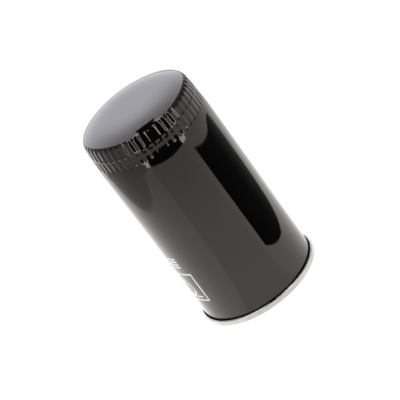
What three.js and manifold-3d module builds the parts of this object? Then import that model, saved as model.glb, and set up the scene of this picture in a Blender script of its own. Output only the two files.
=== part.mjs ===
// Spin-on oil filter, standing on its sealing gasket with the closed end up.
// Millimetres, +Z up, origin at the centre of the gasket's sealing face.
import * as THREE from 'three';
import { mergeVertices } from 'three/addons/utils/BufferGeometryUtils.js';
import Module from 'manifold-3d';

// ---------------------------------------------------------------- driving dimensions, mm
const GAP = 0.3; // clearance kept between neighbouring solids

// Can: one deep-drawn steel shell whose grip band steps in twice under the domed closed end
const CAN_RADIUS = 46.5;
const CAN_WALL = 0.6;
const CAN_HEIGHT = 176; // from the foot of the seam to the crown of the dome
const SHOULDER_HEIGHT = 7.9;
const LOWER_ROW_INSET = 0.7; // the lower row of the band lies this far inside the body
const LOWER_ROW_HEIGHT = 6.5;
const WAIST_HEIGHT = 6.5;
const UPPER_ROW_INSET = 1.5;
const UPPER_ROW_HEIGHT = 1.9;
const CORNER_RADIUS = 1.6;
const LEDGE_TILT = THREE.MathUtils.degToRad(23);
const DOME_INSET = 9.7; // the dome's edge lies this far inside the body
const DOME_EDGE_TILT = THREE.MathUtils.degToRad(10);

// Seam that rolls the lid's edge around the can's edge
const SEAM_FOOT_Z = 1.5; // the gasket stands this far below the seam
const SEAM_HEIGHT = 4.5;
const HOOK_CLEARANCE = 0.6;
const HOOK_HEIGHT = 2.6;

// Seaming lid: thin ring that carries the gasket groove
const LID_THICKNESS = 0.6;
const GROOVE_DEPTH = 3.5;
const RIDGE_WIDTH = 2.4;

// Sealing gasket
const GASKET_INNER_RADIUS = 31;
const GASKET_WIDTH = 4.7;
const GASKET_HEIGHT = 5.6;
const GASKET_EDGE = 0.7; // chamfer on the gasket's corners

// Base plate with its drawn, threaded boss and the ring of inlet holes
const PLATE_THICKNESS = 4;
const PLATE_CLEARANCE = 0.5;
const THREAD_RADIUS = 11.6;
const BOSS_WALL = 3.9;
const BOSS_HEIGHT = 7;
const INLET_COUNT = 8;
const INLET_RADIUS = 4;

// Anti-drain valve: rubber collar on the boss and a conical lip over the inlet holes
const COLLAR_SEAT = 1.1; // the collar reaches this far outside the centre tube that it carries
const COLLAR_HEIGHT = 7.5;
const LIP_LAND = 3.7; // the lip reaches this far past the inlet holes
const LIP_RISE = 3;
const LIP_THICKNESS = 1;

// Filter element
const OIL_ANNULUS = 3.7; // free space between the can and the element
const CAP_THICKNESS = 0.6;
const CAP_RIM_HEIGHT = 6;
const CAP_NECK_HEIGHT = 5;
const POTTING_THICKNESS = 1.2;
const TUBE_STAND_OFF = 1.7; // the tube's outside lies this far outside the boss
const TUBE_WALL = 0.7;
const TUBE_HOLE_RADIUS = 2.4;
const TUBE_HOLE_ROW_PITCH = 12;
const TUBE_HOLES_PER_ROW = 4;
const TUBE_END_MARGIN = 24; // unpunched length at the upper end, where the valve hangs
const PLEAT_COUNT = 40;
const PAPER_THICKNESS = 0.7;
const CLIP_THICKNESS = 0.5;
const CLIP_DEPTH = 6;
const CLIP_HALF_WIDTH = 1.7;
const CLIP_END_MARGIN = 2;

// Bypass valve, hung in the upper end cap
const VALVE_FLANGE_WIDTH = 3.4; // the seat's flange lies this far over the upper cap
const VALVE_SHEET = 0.8;
const VALVE_PORT_RADIUS = 7.5;
const SKIRT_HEIGHT = 4;
const CAGE_HEIGHT = 17;
const CAGE_WINDOW_COUNT = 3;
const CAGE_WINDOW_WIDTH = 12;
const CAGE_WINDOW_MARGIN = 3;
const VALVE_LAND = 3; // the disc reaches this far past the port
const VALVE_DISC_THICKNESS = 1.2;
const VALVE_SEAL_THICKNESS = 1;
const VALVE_SEAL_HOLE = 4;
const PIN_RADIUS = 1.6;
const PIN_HEAD_RADIUS = 3.4;
const PIN_HEAD_THICKNESS = 1;
const PIN_PROTRUSION = 2;
const VALVE_SPRING_RADIUS = 6;
const VALVE_SPRING_WIRE = 0.5; // wire radius
const VALVE_SPRING_TURNS = 4;

// Element spring between the upper end cap and the dome
const ELEMENT_SPRING_HEIGHT = 18;
const ELEMENT_SPRING_CLEARANCE = 2.9; // around the valve seat's flange
const ELEMENT_SPRING_UPPER_RADIUS = 15;
const ELEMENT_SPRING_WIRE = 1.1; // wire radius
const ELEMENT_SPRING_TURNS = 3;

// Facets of the turned pieces
const SHELL_SEGMENTS = 48;
const INNER_SEGMENTS = 36;
const HOLE_SEGMENTS = 10;
const WIRE_SIDES = 6;
const STEPS_PER_TURN = 14;
const CORNER_STEPS = 3;
const DOME_STEPS = 3;

// ---------------------------------------------------------------- sizes that follow
const canInnerRadius = CAN_RADIUS - CAN_WALL;
const canTopZ = SEAM_FOOT_Z + CAN_HEIGHT;
const domeEdgeRadius = CAN_RADIUS - DOME_INSET;
const domeSphereRadius = domeEdgeRadius / Math.sin(DOME_EDGE_TILT);
const domeSphereZ = canTopZ - domeSphereRadius;
const domeEdgeZ = domeSphereZ + domeSphereRadius * Math.cos(DOME_EDGE_TILT);

// The ledge falls from the dome's edge to the corner, and the band hangs below the corner
const lowerRowRadius = CAN_RADIUS - LOWER_ROW_INSET;
const upperRowRadius = CAN_RADIUS - UPPER_ROW_INSET;
const cornerCentreRadius = upperRowRadius - CORNER_RADIUS;
const ledgeEndRadius = cornerCentreRadius + CORNER_RADIUS * Math.sin(LEDGE_TILT);
const ledgeEndZ = domeEdgeZ - (ledgeEndRadius - domeEdgeRadius) * Math.tan(LEDGE_TILT);
const cornerCentreZ = ledgeEndZ - CORNER_RADIUS * Math.cos(LEDGE_TILT);
const upperRowFootZ = cornerCentreZ - UPPER_ROW_HEIGHT;
const lowerRowTopZ = upperRowFootZ - WAIST_HEIGHT;
const lowerRowFootZ = lowerRowTopZ - LOWER_ROW_HEIGHT;
const bodyTopZ = lowerRowFootZ - SHOULDER_HEIGHT;

const gasketOuterRadius = GASKET_INNER_RADIUS + GASKET_WIDTH;
const grooveInnerRadius = GASKET_INNER_RADIUS - GAP;
const grooveOuterRadius = gasketOuterRadius + GAP;
const lidTopZ = GASKET_HEIGHT + GAP + LID_THICKNESS;
const hookOuterRadius = CAN_RADIUS + HOOK_CLEARANCE + CAN_WALL;
const seamOuterRadius = hookOuterRadius + GAP + LID_THICKNESS;

const plateFootZ = lidTopZ + GAP;
const plateTopZ = plateFootZ + PLATE_THICKNESS;
const plateRadius = canInnerRadius - PLATE_CLEARANCE;
const bossRadius = THREAD_RADIUS + BOSS_WALL;
const bossTopZ = plateTopZ + BOSS_HEIGHT;
// The inlet holes lie midway between the boss and the lid's inner edge
const inletCircleRadius = (bossRadius + grooveInnerRadius - LID_THICKNESS) / 2;

const tubeRadius = bossRadius + TUBE_STAND_OFF;
const collarInnerRadius = bossRadius + GAP;
const collarOuterRadius = tubeRadius + COLLAR_SEAT;
const collarTopZ = plateTopZ + GAP + COLLAR_HEIGHT;
const lipOuterRadius = inletCircleRadius + INLET_RADIUS + LIP_LAND;

const capOuterRadius = canInnerRadius - OIL_ANNULUS;
const capRimInnerRadius = capOuterRadius - CAP_THICKNESS;
const tubeInnerRadius = tubeRadius - TUBE_WALL;
const neckOuterRadius = tubeInnerRadius - GAP;
const neckInnerRadius = neckOuterRadius - CAP_THICKNESS;
const packInnerRadius = tubeRadius + GAP;
const packOuterRadius = capRimInnerRadius - GAP;

// The spring's upper coil lies against the inside of the dome
const springDomeRadius = ELEMENT_SPRING_UPPER_RADIUS + ELEMENT_SPRING_WIRE;
const domeInnerSphereRadius = domeSphereRadius - CAN_WALL;
const domeInnerZ = domeSphereZ + Math.sqrt(domeInnerSphereRadius ** 2 - springDomeRadius ** 2);
const elementSpringTopZ = domeInnerZ - GAP;
const elementSpringFootZ = elementSpringTopZ - ELEMENT_SPRING_HEIGHT;

const lowerCapFootZ = collarTopZ + GAP;
const upperCapTopZ = elementSpringFootZ - GAP;
const tubeFootZ = lowerCapFootZ + CAP_THICKNESS + GAP;
const tubeTopZ = upperCapTopZ - CAP_THICKNESS - GAP;
const paperFootZ = tubeFootZ + POTTING_THICKNESS + GAP;
const paperTopZ = tubeTopZ - POTTING_THICKNESS - GAP;

const valveFlangeRadius = neckInnerRadius + VALVE_FLANGE_WIDTH;
const valveFlangeFootZ = upperCapTopZ + GAP;
const skirtOuterRadius = neckInnerRadius - GAP;
const skirtInnerRadius = skirtOuterRadius - VALVE_SHEET;
const cageOuterRadius = skirtInnerRadius - GAP;
const cageTopZ = valveFlangeFootZ - GAP;
const cageFootZ = cageTopZ - CAGE_HEIGHT;
const sealTopZ = valveFlangeFootZ - GAP;
const discTopZ = sealTopZ - VALVE_SEAL_THICKNESS - GAP;
const discFootZ = discTopZ - VALVE_DISC_THICKNESS;
const pinTopZ = discFootZ - GAP;
const valveSpringFootZ = cageFootZ + VALVE_SHEET + GAP;
const valveSpringTopZ = discFootZ - GAP;
const valveDiscRadius = VALVE_PORT_RADIUS + VALVE_LAND;
const springLowerRadius = valveFlangeRadius + ELEMENT_SPRING_CLEARANCE + ELEMENT_SPRING_WIRE;

// ---------------------------------------------------------------- shape helpers
const manifoldLibrary = await Module();
manifoldLibrary.setup();

/** Signed area of a closed outline of [radius, height] points. */
function signedArea(outline) {
  let area = 0;
  outline.forEach(([x, y], index) => {
    const [nextX, nextY] = outline[(index + 1) % outline.length];
    area += (x * nextY - nextX * y) / 2;
  });
  return area;
}

/** Solid of revolution about Z from a closed outline that stays clear of the axis. */
function turnedRing(outline, segments) {
  const ordered = signedArea(outline) > 0 ? outline : [...outline].reverse();
  const points = [...ordered, ordered[0]].map(([r, z]) => new THREE.Vector2(r, z));
  return new THREE.LatheGeometry(points, segments).rotateX(Math.PI / 2);
}

/** Solid of revolution about Z from a profile that starts and ends on the axis, lowest point first. */
function turnedSolid(profile, segments) {
  const points = profile.map(([r, z]) => new THREE.Vector2(r, z));
  return new THREE.LatheGeometry(points, segments).rotateX(Math.PI / 2);
}

/** Plain ring between two radii and two heights. */
function plainRing(innerRadius, outerRadius, footZ, topZ, segments) {
  const outline = [[innerRadius, footZ], [outerRadius, footZ], [outerRadius, topZ], [innerRadius, topZ]];
  return turnedRing(outline, segments);
}

/** One side of a sheet: the centre line moved sideways, with mitred corners. */
function offsetLine(centreLine, distance) {
  const directions = centreLine.slice(1).map(([r, z], index) => {
    const [fromR, fromZ] = centreLine[index];
    const length = Math.hypot(r - fromR, z - fromZ);
    return [(r - fromR) / length, (z - fromZ) / length];
  });
  return centreLine.map(([r, z], index) => {
    const before = directions[Math.max(index - 1, 0)];
    const after = directions[Math.min(index, directions.length - 1)];
    const share = distance / (1 + before[0] * after[0] + before[1] * after[1]);
    return [r - share * (before[1] + after[1]), z + share * (before[0] + after[0])];
  });
}

/** Closed outline of a sheet of even thickness along an open centre line. */
function sheetOutline(centreLine, thickness) {
  const left = offsetLine(centreLine, thickness / 2);
  const right = offsetLine(centreLine, -thickness / 2);
  return [...right, ...left.reverse()];
}

/** Points along an arc, in the radius-height plane, angles from the radius direction. */
function arcPoints(centreR, centreZ, radius, startAngle, endAngle, steps) {
  return Array.from({ length: steps + 1 }, (_, step) => {
    const angle = startAngle + ((endAngle - startAngle) * step) / steps;
    return [centreR + radius * Math.cos(angle), centreZ + radius * Math.sin(angle)];
  });
}

/** Closed solid for boolean work from a geometry. */
function toSolid(geometry) {
  const bare = geometry.clone();
  bare.deleteAttribute('normal');
  bare.deleteAttribute('uv');
  const merged = mergeVertices(bare);
  const mesh = new manifoldLibrary.Mesh({
    numProp: 3,
    vertProperties: new Float32Array(merged.attributes.position.array),
    triVerts: new Uint32Array(merged.index.array),
  });
  return new manifoldLibrary.Manifold(mesh);
}

/** Geometry of a solid after boolean work. */
function toGeometry(solid) {
  const mesh = solid.getMesh();
  const geometry = new THREE.BufferGeometry();
  geometry.setAttribute('position', new THREE.BufferAttribute(new Float32Array(mesh.vertProperties), 3));
  geometry.setIndex(new THREE.BufferAttribute(new Uint32Array(mesh.triVerts), 1));
  return geometry;
}

/** Geometry with every cutter taken away. */
function withCuts(geometry, cutters) {
  const cut = cutters.reduce((solid, cutter) => solid.subtract(toSolid(cutter)), toSolid(geometry));
  return toGeometry(cut);
}

/** Round coil of wire whose radius runs evenly from foot to top, with a flat turn at each end. */
function coil(footRadius, topRadius, footZ, topZ, wireRadius, turns) {
  const lowZ = footZ + wireRadius;
  const highZ = topZ - wireRadius;
  const flatRise = 2 * wireRadius + GAP;
  const totalTurns = turns + 2;
  class CoilCurve extends THREE.Curve {
    getPoint(t) {
      const turn = t * totalTurns;
      const middle = THREE.MathUtils.clamp((turn - 1) / turns, 0, 1);
      const radius = THREE.MathUtils.lerp(footRadius, topRadius, middle);
      const endRise = flatRise * (Math.min(turn, 1) + Math.max(turn - turns - 1, 0));
      const z = lowZ + endRise + (highZ - lowZ - 2 * flatRise) * middle;
      const angle = turn * 2 * Math.PI;
      return new THREE.Vector3(radius * Math.cos(angle), radius * Math.sin(angle), z);
    }
  }
  const section = new THREE.Shape();
  section.setFromPoints(Array.from({ length: WIRE_SIDES }, (_, side) => {
    const angle = (side / WIRE_SIDES) * 2 * Math.PI;
    return new THREE.Vector2(wireRadius * Math.cos(angle), wireRadius * Math.sin(angle));
  }));
  return new THREE.ExtrudeGeometry(section, {
    steps: totalTurns * STEPS_PER_TURN,
    extrudePath: new CoilCurve(),
    curveSegments: 1,
  });
}

// ---------------------------------------------------------------- casing
/** One face of the can from the body's foot to the crown, moved in from the outside by a depth. */
function canFace(depth) {
  const cornerEnd = Math.PI / 2 - LEDGE_TILT;
  const domeStart = Math.PI / 2 - DOME_EDGE_TILT;
  return [
    [CAN_RADIUS - depth, bodyTopZ],
    [lowerRowRadius - depth, lowerRowFootZ],
    [lowerRowRadius - depth, lowerRowTopZ],
    [upperRowRadius - depth, upperRowFootZ],
    ...arcPoints(cornerCentreRadius, cornerCentreZ, CORNER_RADIUS - depth, 0, cornerEnd, CORNER_STEPS),
    ...arcPoints(0, domeSphereZ, domeSphereRadius - depth, domeStart, Math.PI / 2, DOME_STEPS).slice(0, -1),
    [0, canTopZ - depth],
  ];
}

function makeCan() {
  const flangeFootZ = SEAM_FOOT_Z + LID_THICKNESS + GAP;
  const flangeTopZ = flangeFootZ + CAN_WALL;
  const hookTopZ = flangeFootZ + HOOK_HEIGHT;
  const insideUpwards = [
    [hookOuterRadius, hookTopZ],
    [hookOuterRadius, flangeFootZ],
    [canInnerRadius, flangeFootZ],
    ...canFace(CAN_WALL),
  ];
  const outsideUpwards = [
    [hookOuterRadius - CAN_WALL, hookTopZ],
    [hookOuterRadius - CAN_WALL, flangeTopZ],
    [CAN_RADIUS, flangeTopZ],
    ...canFace(0),
  ];
  return turnedSolid([...insideUpwards.reverse(), ...outsideUpwards], SHELL_SEGMENTS);
}

function makeSeamingLid() {
  const half = LID_THICKNESS / 2;
  const panelZ = lidTopZ - half;
  const ridgeZ = panelZ - GROOVE_DEPTH;
  const ridgeInner = grooveOuterRadius + half;
  const ridgeOuter = ridgeInner + RIDGE_WIDTH;
  const chuckRadius = canInnerRadius - GAP - half;
  const outerWall = seamOuterRadius - half;
  const centreLine = [
    [grooveInnerRadius - half, ridgeZ],
    [grooveInnerRadius - half, panelZ],
    [ridgeInner, panelZ],
    [ridgeInner, ridgeZ],
    [ridgeOuter, ridgeZ],
    [ridgeOuter, panelZ],
    [chuckRadius, panelZ],
    [chuckRadius, SEAM_FOOT_Z + half],
    [outerWall, SEAM_FOOT_Z + half],
    [outerWall, SEAM_FOOT_Z + SEAM_HEIGHT],
  ];
  return turnedRing(sheetOutline(centreLine, LID_THICKNESS), SHELL_SEGMENTS);
}

function makeGasket() {
  const outline = [
    [GASKET_INNER_RADIUS + GASKET_EDGE, 0],
    [gasketOuterRadius - GASKET_EDGE, 0],
    [gasketOuterRadius, GASKET_EDGE],
    [gasketOuterRadius, GASKET_HEIGHT],
    [GASKET_INNER_RADIUS, GASKET_HEIGHT],
    [GASKET_INNER_RADIUS, GASKET_EDGE],
  ];
  return turnedRing(outline, SHELL_SEGMENTS);
}

function makeBasePlate() {
  const outline = [
    [THREAD_RADIUS, plateFootZ],
    [plateRadius, plateFootZ],
    [plateRadius, plateTopZ],
    [bossRadius, plateTopZ],
    [bossRadius, bossTopZ],
    [THREAD_RADIUS, bossTopZ],
  ];
  const holes = Array.from({ length: INLET_COUNT }, (_, index) => {
    const angle = (index / INLET_COUNT) * 2 * Math.PI;
    const drill = new THREE.CylinderGeometry(INLET_RADIUS, INLET_RADIUS, 3 * PLATE_THICKNESS, HOLE_SEGMENTS);
    drill.rotateX(Math.PI / 2);
    const centreZ = (plateFootZ + plateTopZ) / 2;
    return drill.translate(inletCircleRadius * Math.cos(angle), inletCircleRadius * Math.sin(angle), centreZ);
  });
  return withCuts(turnedRing(outline, SHELL_SEGMENTS), holes);
}

// ---------------------------------------------------------------- anti-drain valve
function makeAntiDrainCollar() {
  return plainRing(collarInnerRadius, collarOuterRadius, plateTopZ + GAP, collarTopZ, INNER_SEGMENTS);
}

function makeAntiDrainLip() {
  const innerRadius = collarOuterRadius + GAP;
  const edgeZ = plateTopZ + GAP;
  const outline = [
    [innerRadius, edgeZ + LIP_RISE],
    [lipOuterRadius, edgeZ],
    [lipOuterRadius, edgeZ + LIP_THICKNESS],
    [innerRadius, edgeZ + LIP_RISE + LIP_THICKNESS],
  ];
  return turnedRing(outline, INNER_SEGMENTS);
}

// ---------------------------------------------------------------- filter element
/** End cap as a pressed cup: outer rim and inner neck both point towards the paper. */
function makeEndCap(faceZ, inward) {
  const half = CAP_THICKNESS / 2;
  const discZ = faceZ + inward * half;
  const centreLine = [
    [neckInnerRadius + half, faceZ + inward * CAP_NECK_HEIGHT],
    [neckInnerRadius + half, discZ],
    [capOuterRadius - half, discZ],
    [capOuterRadius - half, faceZ + inward * CAP_RIM_HEIGHT],
  ];
  return turnedRing(sheetOutline(centreLine, CAP_THICKNESS), INNER_SEGMENTS);
}

function makePotting(footZ) {
  return plainRing(packInnerRadius, packOuterRadius, footZ, footZ + POTTING_THICKNESS, INNER_SEGMENTS);
}

/** Zigzag outline of the folded paper, at one face of the sheet; the clipped fold is set back. */
function pleatOutline(tipRadius, rootRadius, clippedTipRadius) {
  return Array.from({ length: 2 * PLEAT_COUNT }, (_, index) => {
    const angle = (index / PLEAT_COUNT) * Math.PI;
    const outward = index % 2 === 0;
    const tip = index === 0 ? clippedTipRadius : tipRadius;
    const radius = outward ? tip : rootRadius;
    return new THREE.Vector2(radius * Math.cos(angle), radius * Math.sin(angle));
  });
}

function makePleatedPaper() {
  // At a fold the two faces of the sheet lie further apart than its thickness
  const flankAngle = Math.atan2((Math.PI / PLEAT_COUNT) * packInnerRadius, packOuterRadius - packInnerRadius);
  const foldDepth = PAPER_THICKNESS / Math.sin(flankAngle) / 2;
  const clippedTip = packOuterRadius - CLIP_THICKNESS - GAP;
  const shape = new THREE.Shape(pleatOutline(packOuterRadius, packInnerRadius + foldDepth, clippedTip));
  const hole = pleatOutline(packOuterRadius - foldDepth, packInnerRadius, clippedTip - foldDepth);
  shape.holes.push(new THREE.Path(hole));
  const depth = paperTopZ - paperFootZ;
  return new THREE.ExtrudeGeometry(shape, { depth, bevelEnabled: false }).translate(0, 0, paperFootZ);
}

function makeSeamClip() {
  const tip = packOuterRadius;
  const root = tip - CLIP_DEPTH;
  const outer = CLIP_HALF_WIDTH;
  const inner = CLIP_HALF_WIDTH - CLIP_THICKNESS;
  const shape = new THREE.Shape([
    new THREE.Vector2(root, -outer),
    new THREE.Vector2(tip, -outer),
    new THREE.Vector2(tip, outer),
    new THREE.Vector2(root, outer),
    new THREE.Vector2(root, inner),
    new THREE.Vector2(tip - CLIP_THICKNESS, inner),
    new THREE.Vector2(tip - CLIP_THICKNESS, -inner),
    new THREE.Vector2(root, -inner),
  ]);
  const depth = paperTopZ - paperFootZ - 2 * CLIP_END_MARGIN;
  const clip = new THREE.ExtrudeGeometry(shape, { depth, bevelEnabled: false });
  return clip.translate(0, 0, paperFootZ + CLIP_END_MARGIN);
}

function makeCentreTube() {
  const tube = plainRing(tubeInnerRadius, tubeRadius, tubeFootZ, tubeTopZ, INNER_SEGMENTS);
  const punchedLength = tubeTopZ - TUBE_END_MARGIN - (tubeFootZ + TUBE_HOLE_ROW_PITCH);
  const rows = Math.floor(punchedLength / TUBE_HOLE_ROW_PITCH) + 1;
  const punches = [];
  for (let row = 0; row < rows; row += 1) {
    const z = tubeFootZ + TUBE_HOLE_ROW_PITCH * (row + 1);
    for (let across = 0; across < TUBE_HOLES_PER_ROW / 2; across += 1) {
      const turn = (across + (row % 2) / 2) * ((2 * Math.PI) / TUBE_HOLES_PER_ROW);
      const punch = new THREE.CylinderGeometry(
        TUBE_HOLE_RADIUS, TUBE_HOLE_RADIUS, 3 * tubeRadius, HOLE_SEGMENTS,
      );
      punches.push(punch.rotateX(Math.PI / 2).rotateY(Math.PI / 2).rotateZ(turn).translate(0, 0, z));
    }
  }
  return withCuts(tube, punches);
}

// ---------------------------------------------------------------- bypass valve
function makeValveSeat() {
  const flangeTopZ = valveFlangeFootZ + VALVE_SHEET;
  const outline = [
    [VALVE_PORT_RADIUS, valveFlangeFootZ],
    [skirtInnerRadius, valveFlangeFootZ],
    [skirtInnerRadius, valveFlangeFootZ - SKIRT_HEIGHT],
    [skirtOuterRadius, valveFlangeFootZ - SKIRT_HEIGHT],
    [skirtOuterRadius, valveFlangeFootZ],
    [valveFlangeRadius, valveFlangeFootZ],
    [valveFlangeRadius, flangeTopZ],
    [VALVE_PORT_RADIUS, flangeTopZ],
  ];
  return turnedRing(outline, INNER_SEGMENTS);
}

function makeValveCage() {
  const half = VALVE_SHEET / 2;
  const centreLine = [
    [PIN_RADIUS + GAP, cageFootZ + half],
    [cageOuterRadius - half, cageFootZ + half],
    [cageOuterRadius - half, cageTopZ],
  ];
  const cup = turnedRing(sheetOutline(centreLine, VALVE_SHEET), INNER_SEGMENTS);
  const windowHeight = CAGE_HEIGHT - 2 * CAGE_WINDOW_MARGIN;
  const windows = Array.from({ length: CAGE_WINDOW_COUNT }, (_, index) => {
    const window = new THREE.BoxGeometry(2 * cageOuterRadius, CAGE_WINDOW_WIDTH, windowHeight);
    const centreZ = cageFootZ + CAGE_WINDOW_MARGIN + windowHeight / 2;
    window.translate(cageOuterRadius + VALVE_SPRING_RADIUS, 0, centreZ);
    return window.rotateZ(((index + 0.5) / CAGE_WINDOW_COUNT) * 2 * Math.PI);
  });
  return withCuts(cup, windows);
}

function makeValveSeal() {
  return plainRing(VALVE_SEAL_HOLE, valveDiscRadius, sealTopZ - VALVE_SEAL_THICKNESS, sealTopZ, INNER_SEGMENTS);
}

function makeValveDisc() {
  const profile = [[0, discFootZ], [valveDiscRadius, discFootZ], [valveDiscRadius, discTopZ], [0, discTopZ]];
  return turnedSolid(profile, INNER_SEGMENTS);
}

function makeGuidePin() {
  const headFootZ = pinTopZ - PIN_HEAD_THICKNESS;
  const profile = [
    [0, cageFootZ - PIN_PROTRUSION],
    [PIN_RADIUS, cageFootZ - PIN_PROTRUSION],
    [PIN_RADIUS, headFootZ],
    [PIN_HEAD_RADIUS, headFootZ],
    [PIN_HEAD_RADIUS, pinTopZ],
    [0, pinTopZ],
  ];
  return turnedSolid(profile, HOLE_SEGMENTS * 2);
}

function makeValveSpring() {
  return coil(
    VALVE_SPRING_RADIUS, VALVE_SPRING_RADIUS, valveSpringFootZ, valveSpringTopZ,
    VALVE_SPRING_WIRE, VALVE_SPRING_TURNS,
  );
}

function makeElementSpring() {
  return coil(
    springLowerRadius, ELEMENT_SPRING_UPPER_RADIUS, elementSpringFootZ, elementSpringTopZ,
    ELEMENT_SPRING_WIRE, ELEMENT_SPRING_TURNS,
  );
}

// ---------------------------------------------------------------- finishes and assembly
const finishes = {
  blackPaint: { color: '#1b1a19', roughness: 0.12, metalness: 0 },
  tinnedSteel: { color: '#c9ccc8', roughness: 0.3, metalness: 1 },
  plainSteel: { color: '#9a9c9e', roughness: 0.4, metalness: 1 },
  springSteel: { color: '#55585c', roughness: 0.35, metalness: 1 },
  blackRubber: { color: '#1a1a1c', roughness: 0.6, metalness: 0 },
  redRubber: { color: '#8c3a2a', roughness: 0.6, metalness: 0 },
  filterPaper: { color: '#d8b56a', roughness: 0.9, metalness: 0 },
  potting: { color: '#7d8a92', roughness: 0.6, metalness: 0 },
};

const oilFilter = new THREE.Group();

function addPart(name, geometry, finish) {
  const mesh = new THREE.Mesh(geometry, new THREE.MeshStandardMaterial(finishes[finish]));
  mesh.name = name;
  oilFilter.add(mesh);
}

addPart('can', makeCan(), 'blackPaint');
addPart('seaming_lid', makeSeamingLid(), 'tinnedSteel');
addPart('sealing_gasket', makeGasket(), 'blackRubber');
addPart('base_plate', makeBasePlate(), 'plainSteel');
addPart('anti_drain_collar', makeAntiDrainCollar(), 'redRubber');
addPart('anti_drain_lip', makeAntiDrainLip(), 'redRubber');
addPart('lower_end_cap', makeEndCap(lowerCapFootZ, 1), 'tinnedSteel');
addPart('upper_end_cap', makeEndCap(upperCapTopZ, -1), 'tinnedSteel');
addPart('lower_potting', makePotting(tubeFootZ), 'potting');
addPart('upper_potting', makePotting(tubeTopZ - POTTING_THICKNESS), 'potting');
addPart('pleated_paper', makePleatedPaper(), 'filterPaper');
addPart('paper_seam_clip', makeSeamClip(), 'plainSteel');
addPart('centre_tube', makeCentreTube(), 'plainSteel');
addPart('bypass_seat', makeValveSeat(), 'tinnedSteel');
addPart('bypass_cage', makeValveCage(), 'plainSteel');
addPart('bypass_seal', makeValveSeal(), 'redRubber');
addPart('bypass_disc', makeValveDisc(), 'plainSteel');
addPart('bypass_guide_pin', makeGuidePin(), 'plainSteel');
addPart('bypass_spring', makeValveSpring(), 'springSteel');
addPart('element_spring', makeElementSpring(), 'springSteel');

export default oilFilter;
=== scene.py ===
"""Looks of a spin-on oil filter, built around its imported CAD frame.

Metres, +Z up, origin at the middle of the gasket's sealing face. Sizes in the
classes are millimetres, as on a workshop drawing, and become metres in one place.
"""

import logging
import math
from dataclasses import dataclass, field
from enum import Enum
from typing import Any, Callable, Sequence

import bmesh
import bpy
import numpy as np
from mathutils import Matrix, Vector


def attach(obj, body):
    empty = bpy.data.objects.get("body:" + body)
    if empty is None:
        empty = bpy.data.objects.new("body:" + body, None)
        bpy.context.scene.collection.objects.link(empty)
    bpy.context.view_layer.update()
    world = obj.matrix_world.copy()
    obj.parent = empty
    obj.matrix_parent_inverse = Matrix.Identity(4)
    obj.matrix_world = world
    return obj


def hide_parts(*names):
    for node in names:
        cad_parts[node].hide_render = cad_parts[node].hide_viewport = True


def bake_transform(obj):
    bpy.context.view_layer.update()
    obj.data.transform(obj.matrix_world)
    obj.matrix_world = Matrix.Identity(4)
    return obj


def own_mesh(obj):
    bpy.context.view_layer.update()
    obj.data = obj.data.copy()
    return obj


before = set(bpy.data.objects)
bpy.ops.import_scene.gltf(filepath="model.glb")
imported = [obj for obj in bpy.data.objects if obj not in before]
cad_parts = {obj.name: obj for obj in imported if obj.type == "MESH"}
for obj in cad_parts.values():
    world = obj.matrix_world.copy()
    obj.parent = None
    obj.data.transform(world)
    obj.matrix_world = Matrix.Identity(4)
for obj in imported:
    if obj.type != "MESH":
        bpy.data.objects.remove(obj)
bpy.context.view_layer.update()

MM = 0.001
TURN = 2 * math.pi
ON_AXIS = 1e-9  # a radius below this is a point on the axis
WELD = 1e-7  # metres between points that become one
CORNER_SHARE = 0.45  # of an edge that a rounding may take
PUNCHED_EDGE = 35.0  # degrees; edges of punched sheet sharper than this stay sharp
WAVE_FACTOR = 20  # radians of a band texture for each unit of its scale
CLOUD_SPAN = (0.3, 0.7)  # where nearly all of a cloud's values lie
RANGE_ENDS = ("From Min", "From Max", "To Min", "To Max")

log = logging.getLogger("oil_filter")

Point = tuple[float, float]
Colour = tuple[float, float, float, float]
Socket = bpy.types.NodeSocket
Tree = bpy.types.NodeTree
Piece = bpy.types.Object


class Body(Enum):
    """Bodies of the frame that a piece can ride on."""

    CASING = "root"
    FLAP = "anti_drain_flap"
    VALVE = "bypass_valve"


class Slot(Enum):
    """Material slots of the record."""

    CAN_PAINT = "can_paint"
    LID_TINPLATE = "lid_tinplate"
    GASKET_RUBBER = "gasket_rubber"
    PLATE_STEEL = "plate_steel"
    VALVE_RUBBER = "valve_rubber"
    CAP_TINPLATE = "cap_tinplate"
    POTTING = "potting"
    FILTER_PAPER = "filter_paper"
    CLIP_STEEL = "clip_steel"
    TUBE_STEEL = "tube_steel"
    SPRING_STEEL = "spring_steel"


class Figure(Enum):
    """Figures that a grain can draw: the texture node and the output that is read."""

    CLOUD = ("ShaderNodeTexNoise", "Fac")
    CELLS = ("ShaderNodeTexVoronoi", "Distance")
    BANDS = ("ShaderNodeTexWave", "Fac")


# ------------------------------------------------------------------ colours and nodes
def linear(hex_colour: str) -> Colour:
    """Turn an sRGB hex colour into linear values.

    Args:
        hex_colour: Six hex digits after a hash sign.

    Returns:
        Linear red, green, blue and an alpha of one.
    """
    channels = [int(hex_colour[i : i + 2], 16) / 255 for i in (1, 3, 5)]
    red, green, blue = (
        c / 12.92 if c <= 0.04045 else ((c + 0.055) / 1.055) ** 2.4 for c in channels
    )
    return red, green, blue, 1.0


def grey(value: float) -> Colour:
    """Linear grey of one value."""
    return value, value, value, 1.0


def add_node(
    tree: Tree,
    kind: str,
    settings: dict[str, Any] | None = None,
    inputs: dict[str | int, Any] | None = None,
) -> bpy.types.Node:
    """Add a node with its settings, its socket values and its links.

    Args:
        tree: Node tree that takes the node.
        kind: Blender's type name of the node.
        settings: Properties of the node by name.
        inputs: Socket values by name or index; an output socket is linked.

    Returns:
        The new node.
    """
    node = tree.nodes.new(kind)
    for name, value in (settings or {}).items():
        setattr(node, name, value)
    for name, value in (inputs or {}).items():
        if isinstance(value, Socket):
            tree.links.new(value, node.inputs[name])
        else:
            node.inputs[name].default_value = value
    return node


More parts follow.
